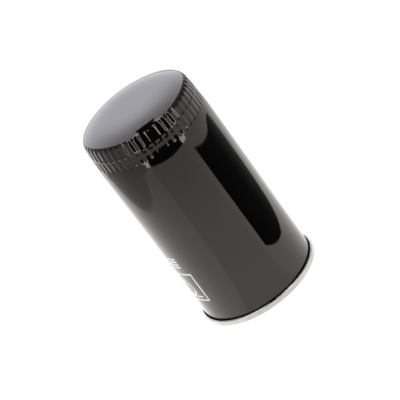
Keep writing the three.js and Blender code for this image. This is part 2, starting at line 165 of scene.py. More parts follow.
def blank_material(name: str) -> tuple[bpy.types.Material, Tree]:
    """Make a material with an empty node tree, and return both."""
    made = bpy.data.materials.new(name)
    made.use_nodes = True
    made.node_tree.nodes.clear()
    return made, made.node_tree


def object_place(tree: Tree) -> Socket:
    """Return the place of a point in the frame, in metres."""
    return add_node(tree, "ShaderNodeTexCoord").outputs["Object"]


@dataclass(frozen=True)
class Grain:
    """One figure of a surface: the real size of its grains and how they lie."""

    size_mm: float
    detail: float = 2.0  # octaves of finer grain
    winding: float = 0.0  # metres that a radian round the axis counts for; 0 lies even
    height_share: float = 1.0  # below 1 draws the grains out along the height
    window: Point | None = None  # part of the figure's span that is kept
    figure: Figure = Figure.CLOUD

    def place(self, tree: Tree) -> Socket:
        """Return where the figure is read.

        Args:
            tree: Node tree of the material.

        Returns:
            A place in metres; wound figures have radius, length round the axis and height.
        """
        place = object_place(tree)
        if self.winding:
            split = add_node(tree, "ShaderNodeSeparateXYZ", inputs={"Vector": place})
            x, y, z = (split.outputs[axis] for axis in "XYZ")
            flat = add_node(tree, "ShaderNodeCombineXYZ", inputs={"X": x, "Y": y})
            radius = add_node(
                tree, "ShaderNodeVectorMath", {"operation": "LENGTH"}, {0: flat.outputs[0]}
            )
            angle = add_node(tree, "ShaderNodeMath", {"operation": "ARCTAN2"}, {0: y, 1: x})
            along = add_node(
                tree,
                "ShaderNodeMath",
                {"operation": "MULTIPLY"},
                {0: angle.outputs[0], 1: self.winding},
            )
            wound = {"X": radius.outputs["Value"], "Y": along.outputs[0], "Z": z}
            place = add_node(tree, "ShaderNodeCombineXYZ", inputs=wound).outputs[0]
        if self.height_share != 1:
            drawn = {"Vector": place, "Scale": (1.0, 1.0, self.height_share)}
            place = add_node(tree, "ShaderNodeMapping", inputs=drawn).outputs[0]
        return place

    def value(self, tree: Tree) -> Socket:
        """Draw the figure.

        Args:
            tree: Node tree of the material.

        Returns:
            A value socket from 0 to 1.
        """
        kind, output = self.figure.value
        settings: dict[str, Any] = {}
        inputs = {"Vector": self.place(tree), "Scale": 1 / (self.size_mm * MM)}
        if self.figure is Figure.CLOUD:
            inputs["Detail"] = self.detail
        elif self.figure is Figure.BANDS:
            settings = {"bands_direction": "Z", "wave_profile": "SIN"}
            inputs["Scale"] *= TURN / WAVE_FACTOR
            inputs["Distortion"] = 0.6
        drawn = add_node(tree, kind, settings, inputs).outputs[output]
        if self.window:
            low, high = self.window
            kept = {"Value": drawn, "From Min": low, "From Max": high}
            drawn = add_node(tree, "ShaderNodeMapRange", inputs=kept).outputs["Result"]
        return drawn


@dataclass(frozen=True)
class Pattern:
    """What a finish shows up close: its second tone, its gloss and its relief."""

    tone: Grain
    gloss: Grain
    relief: tuple[tuple[Grain, float, float], ...]  # grain, strength and depth in mm
    tone_span: Point = (0.0, 1.0)  # share of the second colour
    gloss_span: Point = (0.8, 1.2)  # of the roughness
    tone_from: Point = CLOUD_SPAN
    veil: Grain | None = None  # lets the second colour through once more
    veil_span: Point = (0.55, 1.0)


@dataclass(frozen=True)
class Finish:
    """A real material with its surface: colour, gloss and the pattern of how it was made."""

    name: str
    colour: str
    roughness: float
    metallic: float = 0.0
    second: str = "#000000"
    sockets: tuple[tuple[str, Any], ...] = ()  # values that are the same all over

    def pattern(self) -> Pattern:
        """Return the surface's own pattern."""
        raise NotImplementedError

    def material(self) -> bpy.types.Material:
        """Return the finish as a Blender material, made once."""
        found = bpy.data.materials.get(self.name)
        if found:
            return found
        made, tree = blank_material(self.name)
        pattern = self.pattern()
        grains = [pattern.tone, pattern.gloss, *(grain for grain, _, _ in pattern.relief)]
        values = {grain: grain.value(tree) for grain in dict.fromkeys(grains)}

        rough = tuple(min(1.0, self.roughness * share) for share in pattern.gloss_span)
        levels: dict[str, Socket] = {}
        for use, grain, source, target in (
            ("tone", pattern.tone, pattern.tone_from, pattern.tone_span),
            ("gloss", pattern.gloss, CLOUD_SPAN, rough),
            ("veil", pattern.veil, CLOUD_SPAN, pattern.veil_span),
        ):
            if grain:
                ends = {"Value": values[grain], **dict(zip(RANGE_ENDS, source + target))}
                mapped = add_node(tree, "ShaderNodeMapRange", inputs=ends)
                levels[use] = mapped.outputs["Result"]
        colour, second = linear(self.colour), linear(self.second)
        for use in ("tone", "veil"):
            if use in levels:
                pair = (colour, second) if use == "tone" else (second, colour)
                inputs = {"Factor": levels[use], 6: pair[0], 7: pair[1]}
                mix = add_node(tree, "ShaderNodeMix", {"data_type": "RGBA"}, inputs)
                colour = mix.outputs[2]
        inputs = {
            "Base Color": colour,
            "Roughness": levels["gloss"],
            "Metallic": self.metallic,
            **dict(self.sockets),
        }
        for grain, strength, depth_mm in pattern.relief:
            bump = {"Height": values[grain], "Strength": strength, "Distance": depth_mm * MM}
            if "Normal" in inputs:
                bump["Normal"] = inputs["Normal"]
            inputs["Normal"] = add_node(tree, "ShaderNodeBump", inputs=bump).outputs["Normal"]
        shader = add_node(tree, "ShaderNodeBsdfPrincipled", inputs=inputs)
        add_node(tree, "ShaderNodeOutputMaterial", inputs={"Surface": shader.outputs["BSDF"]})
        return made


@dataclass(frozen=True)
class GlossEnamel(Finish):
    """Stoving enamel, flow-coated and baked: near-black, deep gloss with a faint orange peel."""

    second: str = "#171514"  # dust nibs under the gloss
    sockets: tuple[tuple[str, Any], ...] = (
        ("IOR", 1.52),
        ("Specular Tint", (1.0, 0.9, 0.82, 1.0)),
    )

    def pattern(self) -> Pattern:
        """Orange peel, faint handling haze and a few dust nibs."""
        peel, haze, nibs = Grain(2.2), Grain(26.0, 3.0), Grain(0.9, 1.0, window=(0.7, 0.8))
        relief = ((peel, 0.03, 0.05), (nibs, 0.1, 0.01))
        return Pattern(nibs, haze, relief, gloss_span=(0.8, 1.35), tone_from=(0.0, 1.0))


@dataclass(frozen=True)
class RolledTinplate(Finish):
    """Electrolytic tinplate, rolled and drawn: bright, with faint rings from the seaming roll."""

    second: str = "#a9aaa4"  # dull stains
    ring_mm: float = 0.35  # seaming-roll marks

    def pattern(self) -> Pattern:
        """Roll rings and small dull stains."""
        rings, stains = Grain(self.ring_mm, 3.0, winding=0.004), Grain(6.0, 4.0)
        relief = ((rings, 0.08, 0.03), (stains, 0.03, 0.2))
        return Pattern(stains, rings, relief, tone_span=(1.0, 0.0), gloss_span=(0.75, 1.3))


@dataclass(frozen=True)
class PressedSteel(Finish):
    """Cold-rolled steel, pressed and lightly oiled: mid grey with drawing marks and darker oil."""

    second: str = "#4f4d49"  # oil
    mark_mm: float = 0.5

    def pattern(self) -> Pattern:
        """Drawing marks, patches of oil and a fine mill grain."""
        marks, film = Grain(self.mark_mm, 4.0, winding=0.002), Grain(9.0, 5.0)
        relief = ((marks, 0.15, 0.04), (Grain(0.25), 0.1, 0.02))
        return Pattern(film, film, relief, tone_span=(0.0, 0.8), gloss_span=(1.2, 0.7))


@dataclass(frozen=True)
class DrawnWire(Finish):
    """Patented spring wire, drawn and oil-blackened: dark steel with lengthwise die lines."""

    second: str = "#8b8d90"  # rubbed bright

    def pattern(self) -> Pattern:
        """Die lines and brighter rubbed spots."""
        die = Grain(0.6, 3.0)
        return Pattern(Grain(4.0, 3.0), die, ((die, 0.15, 0.03),))


@dataclass(frozen=True)
class MouldedRubber(Finish):
    """Nitrile rubber, compression moulded: matt, with a fine spark-eroded grain, pale bloom."""

    second: str = "#3a393a"  # bloom
    sockets: tuple[tuple[str, Any], ...] = (("IOR", 1.52),)

    def pattern(self) -> Pattern:
        """Mould grain and the dusty bloom of the rubber."""
        dusty = Grain(5.0, 4.0)
        relief = ((Grain(0.35), 0.25, 0.05), (dusty, 0.1, 0.1))
        return Pattern(dusty, dusty, relief, tone_span=(0.0, 0.5), gloss_span=(0.85, 1.2))


@dataclass(frozen=True)
class ResinPaper(Finish):
    """Cellulose filter paper, phenolic-impregnated: fibrous, warm yellow and quite matt."""

    second: str = "#b98f45"  # resin

    def pattern(self) -> Pattern:
        """A felt of fibres, resin blotches and the embossed grooves of the pleating roll."""
        fibres = Grain(0.8, 5.0, height_share=0.25)
        grooves = Grain(15.708, figure=Figure.BANDS)
        relief = ((fibres, 0.4, 0.12), (grooves, 0.25, 0.2))
        return Pattern(Grain(7.0, 3.0), fibres, relief, gloss_span=(0.9, 1.2), veil=fibres)


@dataclass(frozen=True)
class CuredPlastisol(Finish):
    """PVC plastisol, poured and oven-cured: slate blue, satin, with small bubbles."""

    second: str = "#5f6c75"

    def pattern(self) -> Pattern:
        """Bubbles and a soft skin."""
        skin, bubbles = Grain(4.0, 3.0), Grain(1.3, figure=Figure.CELLS)
        return Pattern(skin, skin, ((bubbles, 0.2, 0.1), (skin, 0.2, 0.2)))


@dataclass(frozen=True)
class PrintedInk(Finish):
    """Pad-printed ink: thin, pale grey and slightly uneven where the pad lifted."""

    second: str = "#bdbdbd"
    sockets: tuple[tuple[str, Any], ...] = (("IOR", 1.5),)

    def pattern(self) -> Pattern:
        """The ink's uneven cover."""
        cover = Grain(0.5, 3.0)
        return Pattern(cover, cover, ((cover, 0.1, 0.01),), tone_span=(1.0, 0.0))


ENAMEL = GlossEnamel("stoved_black_enamel", "#050505", 0.055)
SEAM_TINPLATE = RolledTinplate("rolled_seam_tinplate", "#b4b5af", 0.3, 1.0, "#a6a7a2")
CAP_TINPLATE = RolledTinplate("pressed_cap_tinplate", "#bfc1bd", 0.34, 1.0, ring_mm=0.6)
PLATE_STEEL = PressedSteel("oiled_plate_steel", "#8f9092", 0.36, 1.0)
TUBE_STEEL = PressedSteel("perforated_tube_steel", "#a3a5a6", 0.38, 1.0, mark_mm=0.8)
CLIP_STEEL = PressedSteel("galvanised_clip_steel", "#a9adb0", 0.42, 1.0, "#7f8488", mark_mm=0.7)
VALVE_STEEL = PressedSteel("pressed_valve_steel", "#9b9a96", 0.33, 1.0, mark_mm=0.4)
SPRING_WIRE = DrawnWire("blackened_spring_wire", "#3d3f42", 0.34, 1.0)
GASKET_RUBBER = MouldedRubber("moulded_nitrile_gasket", "#131314", 0.55)
# Matt black lining compound in the seam's gap: partly real compound, partly painted shade that
# darkens the gap
SEAM_COMPOUND_AND_SHADE = MouldedRubber("lining_compound_and_painted_shade", "#050505", 0.8, second="#0a0a0a")
VALVE_RUBBER = MouldedRubber("moulded_silicone_valve", "#7c3024", 0.5, second="#93503f")
PAPER = ResinPaper("pleated_resin_paper", "#d9b871", 0.9)
PLASTISOL = CuredPlastisol("cured_plastisol", "#76838c", 0.45)
INK = PrintedInk("pad_printed_ink", "#ececec", 0.4)


# ------------------------------------------------------------------ mesh work
def bend(start: np.ndarray, corner: np.ndarray, end: np.ndarray, share: float) -> Point:
    """Point on the soft bend that leads from a start past a corner to an end."""
    rest = 1 - share
    return tuple(rest**2 * start + 2 * share * rest * corner + share * share * end)


def rounded(
    outline: Sequence[Point], radius: float, closed: bool = True, steps: int = 4
) -> list[Point]:
    """Round every corner of an outline.

    Args:
        outline: Points of radius and height.
        radius: Length of each edge that the rounding takes, at most.
        closed: Whether the last point joins the first.
        steps: Pieces of each rounding.

    Returns:
        The rounded outline.
    """
    points = [np.array(point, float) for point in outline]
    made: list[Point] = []
    for index, corner in enumerate(points):
        if not closed and index in (0, len(points) - 1):
            made.append(tuple(corner))
            continue
        sides = (points[index - 1] - corner, points[(index + 1) % len(points)] - corner)
        lengths = [np.linalg.norm(side) for side in sides]
        cut = min(radius, *(CORNER_SHARE * length for length in lengths))
        start, end = (corner + side / length * cut for side, length in zip(sides, lengths))
        made += [bend(start, corner, end, step / steps) for step in range(steps + 1)]
    return made


def side_line(line: Sequence[Point], distance: float) -> list[Point]:
    """Move a line sideways, with mitred corners.

    Args:
        line: Points of the line.
        distance: How far it moves to its left.

    Returns:
        The moved line.
    """
    points = np.array(line, float)
    way = np.diff(points, axis=0)
    way /= np.linalg.norm(way, axis=1)[:, None]
    before, after = np.vstack([way[:1], way]), np.vstack([way, way[-1:]])
    share = distance / (1 + (before * after).sum(1))
    total = before + after
    moved = points + np.stack([-share * total[:, 1], share * total[:, 0]], 1)
    return [tuple(point) for point in moved]


def sheet(line: Sequence[Point], thickness: float) -> list[Point]:
    """Closed outline of a sheet of even thickness along its middle line."""
    return side_line(line, -thickness / 2) + side_line(line, thickness / 2)[::-1]


def facets(count: int) -> np.ndarray:
    """Angles of a count of facets round the axis."""
    return np.arange(count) * TURN / count


def ring(reach: Any, turn: Any, height: Any) -> np.ndarray:
    """Points from radius, angle and height, at least one of them a row of values."""
    return np.stack(np.broadcast_arrays(reach * np.cos(turn), reach * np.sin(turn), height), 1)


def apex(height: float) -> np.ndarray:
    """Ring of one point on the axis."""
    return np.array([[0.0, 0.0, height]])


def placed(loop: Any, height: float) -> np.ndarray:
    """Lay a plan outline at a height."""
    return np.column_stack([loop, np.full(len(loop), height)])


def swung(points: np.ndarray, turn: Any) -> np.ndarray:
    """Turn points about the axis by one angle, or each by its own."""
    x, y, z = points.T
    cos, sin = np.cos(turn), np.sin(turn)
    return np.stack([x * cos - y * sin, x * sin + y * cos, z], 1)


def shown(name: str, data: bpy.types.ID) -> Piece:
    """Put a mesh, a light or a camera into the scene as an object."""
    made = bpy.data.objects.new(name, data)
    bpy.context.scene.collection.objects.link(made)
    return made


def mesh_object(name: str, vertices: np.ndarray, faces: list[tuple[int, ...]]) -> Piece:
    """Make a smooth-shaded object from points in millimetres.

    Args:
        name: Name of the piece.
        vertices: Points, one a row, in millimetres.
        faces: Vertex numbers of each face.

    Returns:
        The object, its faces turned outwards.
    """
    mesh = bpy.data.meshes.new(name)
    mesh.from_pydata([tuple(v) for v in vertices * MM], [], faces)
    work = bmesh.new()
    work.from_mesh(mesh)
    bmesh.ops.remove_doubles(work, verts=work.verts, dist=WELD)
    bmesh.ops.recalc_face_normals(work, faces=work.faces)
    work.to_mesh(mesh)
    work.free()
    mesh.polygons.foreach_set("use_smooth", [True] * len(mesh.polygons))
    return shown(name, mesh)


def joined_rings(name: str, rings: Sequence[np.ndarray], looped: bool) -> Piece:
    """Skin a row of rings, where a ring of one point closes the form.

    Args:
        name: Name of the piece.
        rings: Points of each ring; all have the same count, or one.
        looped: Whether the last ring joins the first.

    Returns:
        The skinned object.
    """
    starts = np.cumsum([0] + [len(points) for points in rings])
    faces: list[tuple[int, ...]] = []
    pairs = list(zip(range(len(rings)), range(1, len(rings))))
    if looped:
        pairs.append((len(rings) - 1, 0))
    for low, high in pairs:
        a, b, first, second = starts[low], starts[high], len(rings[low]), len(rings[high])
        count = max(first, second)
        for i in range(count):
            j = (i + 1) % count
            if first == 1:
                faces.append((a, b + j, b + i))
            elif second == 1:
                faces.append((a + i, a + j, b))
            else:
                faces.append((a + i, a + j, b + j, b + i))
    return mesh_object(name, np.vstack(rings), faces)


def turned(
    name: str,
    outline: Sequence[Point],
    segments: int,
    looped: bool = True,
    dent: Callable[[np.ndarray, float, float], np.ndarray] | None = None,
) -> Piece:
    """Turn an outline about the axis.

    Args:
        name: Name of the piece.
        outline: Points of radius and height in millimetres.
        segments: Facets round the axis.
        looped: Whether the outline closes on itself.
        dent: Change of radius from the angles, radius and height of a ring.

    Returns:
        The turned object.
    """
    turn = facets(segments)
    rings = []
    for radius, height in outline:
        reach = radius + (dent(turn, radius, height) if dent else 0.0)
        rings.append(apex(height) if radius < ON_AXIS else ring(reach, turn, height))
    return joined_rings(name, rings, looped)


def swept(name: str, path: np.ndarray, radius: float, sides: int) -> Piece:
    """Sweep a round section along a path, with closed ends.

    Args:
        name: Name of the piece.
        path: Points along the middle of the wire, in millimetres.
        radius: Radius of the section.
        sides: Facets round the section.

    Returns:
        The swept object.
    """
    way = np.gradient(path, axis=0)
    way /= np.linalg.norm(way, axis=1)[:, None]
    up = np.cross(way, [0.0, 0.0, 1.0])
    up /= np.linalg.norm(up, axis=1)[:, None]
    cos, sin = (wave(facets(sides))[:, None] for wave in (np.cos, np.sin))
    rings = [
        middle + radius * (cos * rise + sin * across)
        for middle, rise, across in zip(path, up, np.cross(way, up))
    ]
    return joined_rings(name, [path[:1], *rings, path[-1:]], False)


def extruded(name: str, loops: Sequence[np.ndarray]) -> Piece:
    """Skin a row of closed loops and close both ends with a flat face.

    Args:
        name: Name of the piece.
        loops: Points of each loop in millimetres, all with the same count.

    Returns:
        The solid.
    """
    count, last = len(loops[0]), (len(loops) - 1) * len(loops[0])
    faces = [
        (a + i, a + (i + 1) % count, a + count + (i + 1) % count, a + count + i)
        for a in range(0, last, count)
        for i in range(count)
    ]
    faces += [tuple(range(count)), tuple(range(last + count - 1, last - 1, -1))]
    return mesh_object(name, np.vstack(loops), faces)


def coil_path(foot: Point, top: Point, wire: float, turns: float) -> np.ndarray:
    """Middle line of a compression spring with one flat turn at each end.

    Args:
        foot: Coil radius and height of the spring's foot.
        top: Coil radius and height of the spring's top.
        wire: Radius of the wire.
        turns: Working turns between the flat ones.

    Returns:
        Points in millimetres.
    """
    per_turn, clearance, ease = 40, 0.15, 0.08
    low, high, flat = foot[1] + wire, top[1] - wire, 2 * wire + clearance
    turn = np.linspace(0, turns + 2, int((turns + 2) * per_turn) + 1)
    middle = np.clip((turn - 1) / turns, 0.0, 1.0)
    eased = middle - ease * np.sin(TURN * middle) / TURN
    rise = flat * (np.minimum(turn, 1.0) + np.maximum(turn - turns - 1, 0.0))
    reach = foot[0] + (top[0] - foot[0]) * middle
    return ring(reach, turn * TURN, low + rise + (high - low - 2 * flat) * eased)


def crisp(piece: Piece) -> Piece:
    """Weigh a piece's normals by face area, so that flats stay flat beside rounded edges."""
    piece.modifiers.new("flat_faces", "WEIGHTED_NORMAL").keep_sharp = True
    return piece


def sharpened(piece: Piece, angle_deg: float) -> Piece:
    """Mark the edges sharper than an angle."""
    piece.data.set_sharp_from_angle(angle=math.radians(angle_deg))
    return piece


def merged(name: str, parts: Sequence[Piece]) -> Piece:
    """Join objects into a new one.

    Args:
        name: Name of the new object.
        parts: Objects that are joined and removed.

    Returns:
        The joined object.
    """
    work = bmesh.new()
    for part in parts:
        work.from_mesh(part.data)
        bpy.data.objects.remove(part)
    mesh = bpy.data.meshes.new(name)
    work.to_mesh(mesh)
    work.free()
    return shown(name, mesh)


def cut_away(piece: Piece, cutters: Sequence[Piece]) -> Piece:
    """Cut holes into a piece and remove the cutters.

    Args:
        piece: The piece that is cut.
        cutters: Solids that are taken away.

    Returns:
        The same piece with its new mesh and sharp punched edges.
    """
    punch = merged("punches", cutters)
    cut = piece.modifiers.new("punched", "BOOLEAN")
    cut.operation, cut.solver, cut.object = "DIFFERENCE", "EXACT", punch
    graph = bpy.context.evaluated_depsgraph_get()
    final = bpy.data.meshes.new_from_object(piece.evaluated_get(graph))
    piece.modifiers.remove(cut)
    piece.data = final
    bpy.data.objects.remove(punch)
    return sharpened(piece, PUNCHED_EDGE)


def settle(
    piece: Piece, finish: Finish, slot: Slot, *stands_for: str, body: Body | None = Body.CASING
) -> Piece:
    """Give a piece its finish, hide the CAD nodes it stands for and set its body.

    Args:
        piece: The piece.
        finish: Its finish.
        slot: Material slot of the record; not used.
        *stands_for: CAD nodes that are hidden behind it.
        body: Body that it rides on, or none.

    Returns:
        The same piece.
    """
    piece.data.materials.clear()
    piece.data.materials.append(finish.material())
    if stands_for:
        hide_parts(*stands_for)
    if body:
        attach(piece, body.value)
    log.info("%s: %d faces, %s", piece.name, len(piece.data.polygons), finish.name)
    return piece


# ------------------------------------------------------------------ casing
@dataclass
class GripRow:
    """One row of pressed flutes: soft grooves laid side by side along the can's profile."""

    start: float
    end: float
    half_width: float
    depth: float
    run_out: float = 1.8

    def dent(self, along: float, across: np.ndarray) -> np.ndarray:
        """Depth of the groove at a place.

        Args:
            along: Length along the profile, in millimetres.
            across: Distance from the nearest groove's middle line.

        Returns:
            Depth in millimetres, zero outside the groove.
        """
        share = np.clip(np.abs(across) / self.half_width, 0, 1)
        reach = min(max(min(along - self.start, self.end - along) / self.run_out, 0.0), 1.0)
        fade = reach * reach * (3 - 2 * reach)
        return self.depth * fade * np.cos(share * math.pi / 2) ** 2


@dataclass
class Can:
    """Deep-drawn can: plain body, two-step grip band with pressed flutes, shoulder and dome."""

    radius: float = 46.5
    wall: float = 0.6
    crown_z: float = 177.5
    hook_radius: float = 47.1
    hook_foot_z: float = 2.4
    hook_top_z: float = 5.0
    body_top_z: float = 146.94
    lower_row_radius: float = 45.8
    lower_row_foot_z: float = 154.84
    lower_row_top_z: float = 161.34
    upper_row_radius: float = 45.0
    upper_row_top_z: float = 168.8
    rim_radius: float = 42.3  # the dome's edge, where the flutes run out
    rim_z: float = 173.3
    rim_tilt: float = math.radians(27)
    shoulder_radius: float = 44.8  # where the wall's line and the rim's line would meet
    flutes: int = 52
    flute_phase: float = math.radians(1.0)
    steps_per_flute: int = 10
    flute_depth: float = 0.47
    flute_share: float = 0.47  # half width of a flute as a share of its pitch
    flute_ends: tuple[Point, ...] = ((151.8, 162.6), (162.2, 172.9))  # heights of each row
    band: Point = (138.0, 182.0)  # length along the profile that is finely stepped
    band_step: float = 0.55
    least_step: float = 0.12

    def outside(self) -> list[Point]:
        """Return the outside from the body's foot to the crown."""
        lower = [
            (self.radius, self.hook_foot_z + self.wall),
            (self.radius, self.body_top_z),
            (self.lower_row_radius, self.lower_row_foot_z),
            (self.lower_row_radius, self.lower_row_top_z),
            (self.upper_row_radius, self.upper_row_top_z),
        ]
        slope = math.tan(self.rim_tilt)
        meet_z = self.rim_z - slope * (self.shoulder_radius - self.rim_radius)
        meet, rim = (self.shoulder_radius, meet_z), (self.rim_radius, self.rim_z)
        foot, meet, rim = (np.array(place) for place in (lower[-1], meet, rim))
        shoulder = [bend(foot, meet, rim, share) for share in np.linspace(0, 1, 13)[:-1]]
        drop = self.crown_z - self.rim_z
        power = slope * self.rim_radius / drop
        dome = [
            (self.rim_radius * share, self.crown_z - drop * share**power)
            for share in np.linspace(1, 0, 41)
        ]
        return rounded(lower, 2.6, closed=False)[:-1] + shoulder + dome

    def stations(self) -> tuple[np.ndarray, np.ndarray, np.ndarray]:
        """Return fine places on the outside, their outward normals and their lengths."""
        line = np.array(self.outside())
        steps = np.linalg.norm(np.diff(line, axis=0), axis=1)
        length = np.concatenate([[0], np.cumsum(steps)])
        start, end = self.band
        marks = np.unique(
            np.concatenate(
                [
                    [0.0, 0.25, 0.6, 1.2],
                    np.linspace(2.4, start, 12, endpoint=False),
                    np.arange(start, end, self.band_step),
                    np.linspace(end, length[-1], 24),
                    length[(length > start) & (length < end)],
                ]
            )
        )
        marks = marks[np.concatenate([[True], np.diff(marks) > self.least_step])]
        marks[-1] = length[-1]
        places = np.stack([np.interp(marks, length, line[:, k]) for k in (0, 1)], 1)
        way = np.gradient(places, marks, axis=0)
        way /= np.linalg.norm(way, axis=1)[:, None]
        normals = np.stack([way[:, 1], -way[:, 0]], 1)
        normals[-1], places[-1, 0] = (0, 1), 0
        return places, normals, marks

    def rows(self, places: np.ndarray, marks: np.ndarray) -> list[GripRow]:
        """Lay the two rows of flutes on the profile.

        Args:
            places: Radius and height of each station.
            marks: Length along the profile at each station.

        Returns:
            The lower and the upper row.
        """
        width = self.flute_share * TURN * self.lower_row_radius / self.flutes
        rows = []
        for heights in self.flute_ends:
            start, end = (marks[int(np.argmax(places[:, 1] >= height))] for height in heights)
            rows.append(GripRow(start, end, width, self.flute_depth))
        return rows

    def build(self) -> Piece:
        """Build the shell with its flutes pressed through the sheet."""
        places, normals, marks = self.stations()
        rows = self.rows(places, marks)
        count = self.flutes * self.steps_per_flute
        angles = -math.pi / 2 + self.flute_phase + facets(count)
        pitch = TURN / self.flutes
        offset = (np.arange(count) % self.steps_per_flute) * TURN / count
        offset = np.where(offset > pitch / 2, offset - pitch, offset)
        outside, inside = [], []
        for (radius, height), (out_r, out_z), mark in zip(places, normals, marks):
            depth = sum(row.dent(mark, radius * offset) for row in rows)
            for rings, sink in ((outside, 0.0), (inside, self.wall)):
                if radius < ON_AXIS:
                    rings.append(apex(height - sink))
                else:
                    sunk = depth + sink
                    rings.append(ring(radius - out_r * sunk, angles, height - out_z * sunk))
        hook = [
            (self.radius - self.wall, self.hook_foot_z),
            (self.hook_radius + self.wall, self.hook_foot_z),
            (self.hook_radius + self.wall, self.hook_top_z),
            (self.hook_radius, self.hook_top_z),
            (self.hook_radius, self.hook_foot_z + self.wall),
        ]
        flange = [ring(r, angles, z) for r, z in rounded(hook, 0.18, closed=False, steps=2)]
        return joined_rings("can_shell", inside[::-1] + flange + outside, False)

    def dress(self) -> None:
        """Paint the can."""
        settle(self.build(), ENAMEL, Slot.CAN_PAINT, "can")


@dataclass
class CanPrint:
    """Generic pad print low on the can: a square frame round an oil drop, and four bars."""

    radius: float = 46.505
    film: float = 0.03
    frame_right: float = -54.0  # degrees from the front
    frame_foot: float = 25.5
    frame_side: float = 27.5
    line: float = 1.5
    drop_sizes: Point = (6.6, 9.2)  # inside and outside of the drop's line
    bar_right: float = -61.0
    bar_top: float = 66.6
    bar_pitch: float = 2.7
    bar_height: float = 1.7
    bars: tuple[float, ...] = (19.0, 19.0, 15.0, 19.0)
    wall_radius: float = 46.5

    def strip(self, corners: Sequence[Point]) -> Piece:
        """Lay a flat shape on the can as a thin film.

        Args:
            corners: Outline as distance to the left of the print's right edge, and height.

        Returns:
            The film as a closed solid.
        """
        left, height = np.array(corners, float).T
        turn = math.radians(self.frame_right) - math.pi / 2 - left / self.wall_radius
        reaches = (self.radius, self.radius + self.film)
        return extruded("print_cell", [ring(reach, turn, height) for reach in reaches])

    def bar(
        self, left: float, foot: float, width: float, height: float, steps: int = 8
    ) -> list[list[Point]]:
        """Split an upright block into narrow cells, so that it follows the curve."""
        edges = [left + width * index / steps for index in range(steps + 1)]
        top = foot + height
        return [
            [(near, foot), (far, foot), (far, top), (near, top)]
            for near, far in zip(edges, edges[1:])
        ]

    def drop(self, scale: float, steps: int = 28) -> list[Point]:
        """Outline of an oil drop about the frame's middle."""
        x, z = self.frame_side / 2, self.frame_foot + self.frame_side * 0.44
        return [
            (
                x + scale * 0.86 * math.sin(t) * math.sin(t / 2) ** 1.3,
                z + scale * 0.95 * math.cos(t) + 0.2 * scale,
            )
            for t in facets(steps)
        ]

    def build(self) -> Piece:
        """Build the print as one film."""
        side, foot, line = self.frame_side, self.frame_foot, self.line
        cells = self.bar(0, foot, side, line) + self.bar(0, foot + side - line, side, line)
        for left in (0, side - line):
            cells += self.bar(left, foot + line, line, side - 2 * line, 1)
        inner, outer = (self.drop(size) for size in self.drop_sizes)
        for i in range(len(inner)):
            j = (i + 1) % len(inner)
            cells.append([inner[i], inner[j], outer[j], outer[i]])
        cells += self.bar(4.4, foot + 3.6, side - 8.8, line)
        shift = math.radians(self.frame_right - self.bar_right) * self.wall_radius
        for index, width in enumerate(self.bars):
            height = self.bar_top - self.bar_pitch * index
            cells += self.bar(shift, height, width, self.bar_height)
        return merged("can_print", [self.strip(cell) for cell in cells])

    def dress(self) -> None:
        """Ink the print."""
        settle(self.build(), INK, Slot.CAN_PAINT)


@dataclass
class SeamingLid:
    """Seaming lid: rolled double seam outside, chuck wall, and the folded gasket groove."""

    thickness: float = 0.6
    foot_z: float = 1.5
    seam_height: float = 4.5
    seam_radius: float = 48.6
    lip_radius: float = 47.2  # the rolled edge turns in towards the can
    chuck_radius: float = 45.3
    groove_inner: float = 30.4
    groove_outer: float = 36.3
    ridge_width: float = 2.4
    panel_z: float = 6.2
    ridge_z: float = 2.7
    segments: int = 192

    def build(self) -> Piece:
        """Build the folded ring with rounded bends and faint waves on its outer wall."""
        half = self.thickness / 2
        outer, ridge = self.seam_radius - half, self.groove_outer + self.ridge_width
        low, high = self.foot_z + half, self.foot_z + self.seam_height - half
        line = [
            (self.groove_inner, self.ridge_z), (self.groove_inner, self.panel_z),
            (self.groove_outer, self.panel_z), (self.groove_outer, self.ridge_z),
            (ridge, self.ridge_z), (ridge, self.panel_z), (self.chuck_radius, self.panel_z),
            (self.chuck_radius, low), (outer, low), (outer, high), (self.lip_radius, high),
        ]
        outline = sheet(rounded(line, 0.6, closed=False, steps=5), self.thickness)

        def ripple(angles: np.ndarray, radius: float, height: float) -> np.ndarray:
            """Faint waves that the seaming roll leaves on the outer wall."""
            wave = 0.02 * np.sin(31 * angles) + 0.012 * np.sin(17 * angles + height)
            return wave if radius >= outer - 1 else np.zeros_like(angles)

        return turned("seam_and_groove", outline, self.segments, dent=ripple)

    def build_compound_and_shade(self) -> Piece:
        """Build the dark sealing compound between the seam and the can; its matt black is partly
        painted shade that darkens that gap.
        """
        outer = self.seam_radius - self.thickness - 0.03
        bead = [
            (46.53, 3.4), (46.95, 3.4), (46.95, 5.06), (outer, 5.06), (outer, 5.34),
            (47.2, 5.3), (46.53, 5.36),
        ]
        return turned("seam_compound_and_shade", rounded(bead, 0.2, steps=2), self.segments)

    def dress(self) -> None:
        """Finish the lid and its compound, whose black is partly painted shade in the gap."""
        settle(crisp(self.build()), SEAM_TINPLATE, Slot.LID_TINPLATE, "seaming_lid")
        # The compound's black also stands in for the shade in the gap between seam and can, as
        # painted shade
        settle(self.build_compound_and_shade(), SEAM_COMPOUND_AND_SHADE, Slot.CAN_PAINT)


@dataclass
class Gasket:
    """Square-cut sealing gasket with a rounded face and two fine moulding lines."""

    inner: float = 31.0
    outer: float = 35.7
    height: float = 5.6
    segments: int = 160

    def build(self) -> Piece:
        """Build the gasket."""
        side = [(0.7, 0.15), (0.0, 0.9), (0.0, 2.7), (0.12, 2.85), (0.0, 3.0)]
        inside = [(self.inner + inset, z) for inset, z in side]
        outside = [(self.outer - inset, z) for inset, z in side]
        face = [
            inside[1], inside[0], (self.inner + 1.5, 0.0), (self.outer - 1.5, 0.0), *outside,
            (self.outer, self.height), (self.inner, self.height), *inside[:1:-1],
        ]
        return turned("gasket_ring", rounded(face, 0.3, steps=2), self.segments)

    def dress(self) -> None:
        """Finish the gasket in rubber."""
        settle(crisp(self.build()), GASKET_RUBBER, Slot.GASKET_RUBBER, "sealing_gasket")


